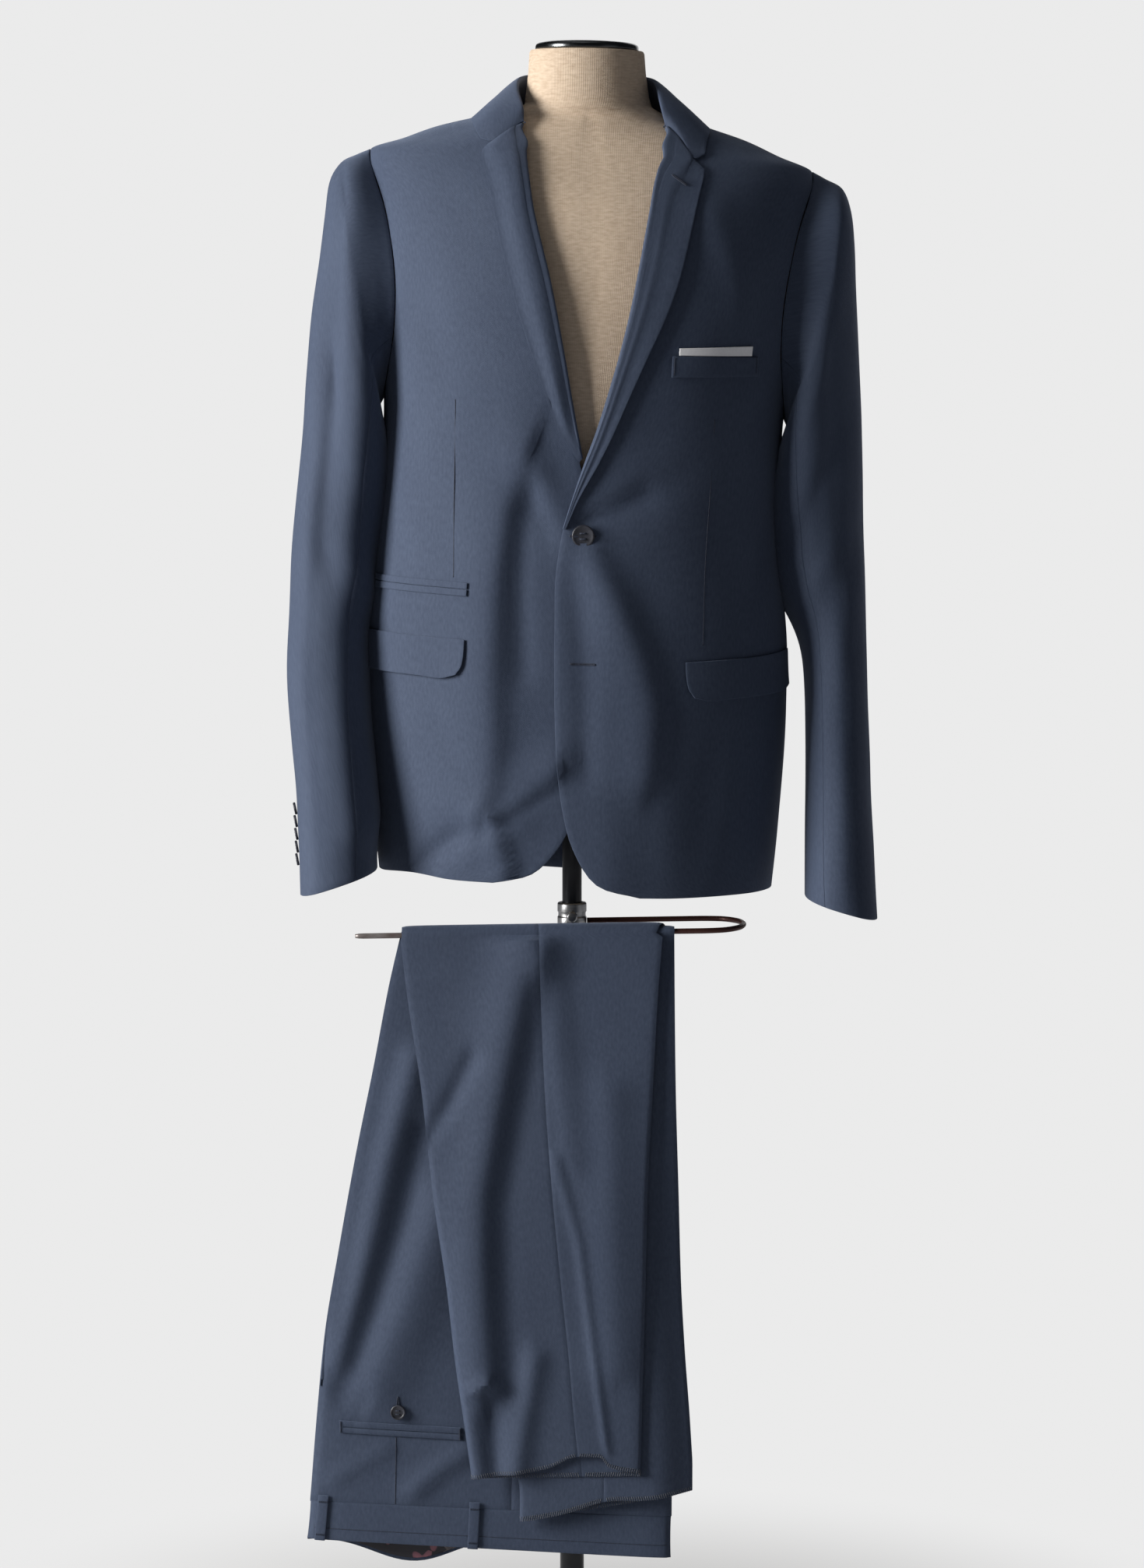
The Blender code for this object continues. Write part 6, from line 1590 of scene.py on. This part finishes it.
def belt_loop(leg, toward, word, name, share):
    path = smooth_line(np.column_stack([LOOP_PATH, np.zeros(4)]), 26)
    spread = np.linspace(-LOOP_WIDE / 2, LOOP_WIDE / 2, 9)
    crowned = 1 - (spread / (LOOP_WIDE / 2)) ** 2
    faces = []
    for extra, crown in ((LOOP_WALL, 0.00025), (0.0, 0.0)):
        grid = []
        for drop, lift, _ in path:
            line = band_section(leg, drop, -0.0009)
            pts = at_x(line, line[0, 0] + (line[-1, 0] - line[0, 0]) * share + spread)
            pts[:, 1] += toward * (lift + extra + crown * crowned)
            grid.append(pts)
        faces.append(np.array(grid))
    wall(name, *faces, on="waistband_" + word, soft=0.0002)
    up = np.array([0.0, toward * 0.0003, 0.0])
    tacks = []
    for at, drop in ((3, 1), (22, -1)):
        for p, q in zip(faces[0][at, 1:8], faces[0][at + drop, 1:8]):
            tacks.append(np.array([p + up * 0.5, (p + q) / 2 + up, q + up * 0.5]))
    stitched(name + "_tacks", tacks, TACK_SIZE, 4, NAVY_THREAD, "wool")


def waistband():
    drops = np.linspace(WAIST_DROP + 0.0001, BAND_DROP, 14)
    swell = 0.0005 * np.sin(np.linspace(0, math.pi, 14)) ** 0.6
    for leg, word, toward in LEGS:
        name = "waistband_" + word
        outer, inner = [drawn_in(np.stack([band_section(leg, *row) for row in zip(drops, depths)]),
                                 "lr") for depths in (-0.0004 - swell, np.full(14, 0.0012))]
        wall(name, outer, inner, on="trouser_bar", soft=0.0003)
        line = outer[9, 3:-3] + np.array([0.0, toward * 0.00005, 0.0])
        stitched(name + "_stitching", [smooth_line(line, 160)], 0.0003, 6, NAVY_THREAD, "wool")
        for k, share in enumerate(LOOPS[leg]):
            belt_loop(leg, toward, word, "belt_loop_%s_%d" % (word, k + 1), share)
    drops = np.linspace(WAIST_DROP + 0.002, BAND_DROP - 0.003, 8)
    faces = [np.stack([band_section("outer", a, depth)[8:-8] for a in drops])
             for depth in (0.0016, 0.0026)]
    wall("waistband_lining", *faces, FLOWERED, "print", on="waistband_right")


waistband()

# ---------------------------------------------------------------- back pockets of the trousers
# A double-jetted pocket on each side of the seat, closed by a small button through a worked hole,
# over a dart that runs down to the waist seam.

# Ends along x, drops of the jets' edges, button's x and drop
BACK_POCKET = (-0.2140, -0.1020)
POCKET_MIDDLE = (BACK_POCKET[0] + BACK_POCKET[1]) / 2
BACK_POCKET_SLANT = 0.03
BACK_JETS = ((0.4562, 0.4612), (0.4500, 0.4556))
BACK_BUTTON = (-0.1600, 0.4385)
BACK_BUTTON_RADIUS = 0.0070
TACK_ENDS = (("left", BACK_POCKET[0] + 0.0012), ("right", BACK_POCKET[1] - 0.0012))


def hip_points(leg, toward, rows, lift):
    """Points on the outside of the hip at (x, drop) rows, lifted off the cloth."""
    out = np.array([at_x(band_section(leg, drop, 0.0), x) for x, drop in rows])
    out[:, 1] += toward * lift
    return out


def back_pockets():
    cols = np.linspace(*BACK_POCKET, 40)
    x, drop = BACK_BUTTON
    hole = [(x + 0.0009 * math.sin(t), drop - 0.0060 - 0.0085 * math.cos(t))
            for t in np.linspace(0, 2 * math.pi, 41)]
    dart = np.linspace((x - 0.002, BACK_JETS[0][1] + 0.001), (x - 0.003, WAIST_DROP - 0.001), 30)
    for leg, word, toward in LEGS:
        more = 0.0 if leg == "inner" else 0.0007
        for k, (low, high) in enumerate(BACK_JETS):
            faces = []
            for lift, crown in ((0.0014 + more, 0.0005), (0.0004 + more, 0.0)):
                grid = []
                for share in np.linspace(0, 1, 7):
                    at = low + (high - low) * share
                    rows = [(c, at + BACK_POCKET_SLANT * (c - POCKET_MIDDLE)) for c in cols]
                    height = lift + crown * math.sin(math.pi * share)
                    grid.append(hip_points(leg, toward, rows, height))
                faces.append(np.array(grid))
            wall("back_pocket_jet_%s_%d" % (word, k + 1), *faces, on="trouser_%s_back" % word,
                 soft=0.0002)
        place = frame_at(hip_points(leg, toward, [BACK_BUTTON], 0.0009)[0], (0, toward, 0))
        sewn_button("back_pocket_button_" + word, BACK_BUTTON_RADIUS, place)
        for name, rows, lift, size in (("buttonhole_", hole, 0.0003, 0.0005),
                                       ("dart_", dart, 0.00005, 0.0004)):
            stitched("back_pocket_" + name + word, [hip_points(leg, toward, rows, lift)], size, 6,
                     NAVY_THREAD, "wool")
        for end, at in TACK_ENDS:
            slant = BACK_POCKET_SLANT * (at - POCKET_MIDDLE)
            bars = [hip_points(leg, toward, [(at + x, d + slant) for x in (-0.0008, 0, 0.0008)],
                               0.0022 + more)
                    for d in np.arange(BACK_JETS[1][0] + 0.001, BACK_JETS[0][1], 0.0007)]
            stitched("back_pocket_tack_%s_%s" % (word, end), bars, 0.00024, 4, NAVY_THREAD, "wool")


back_pockets()
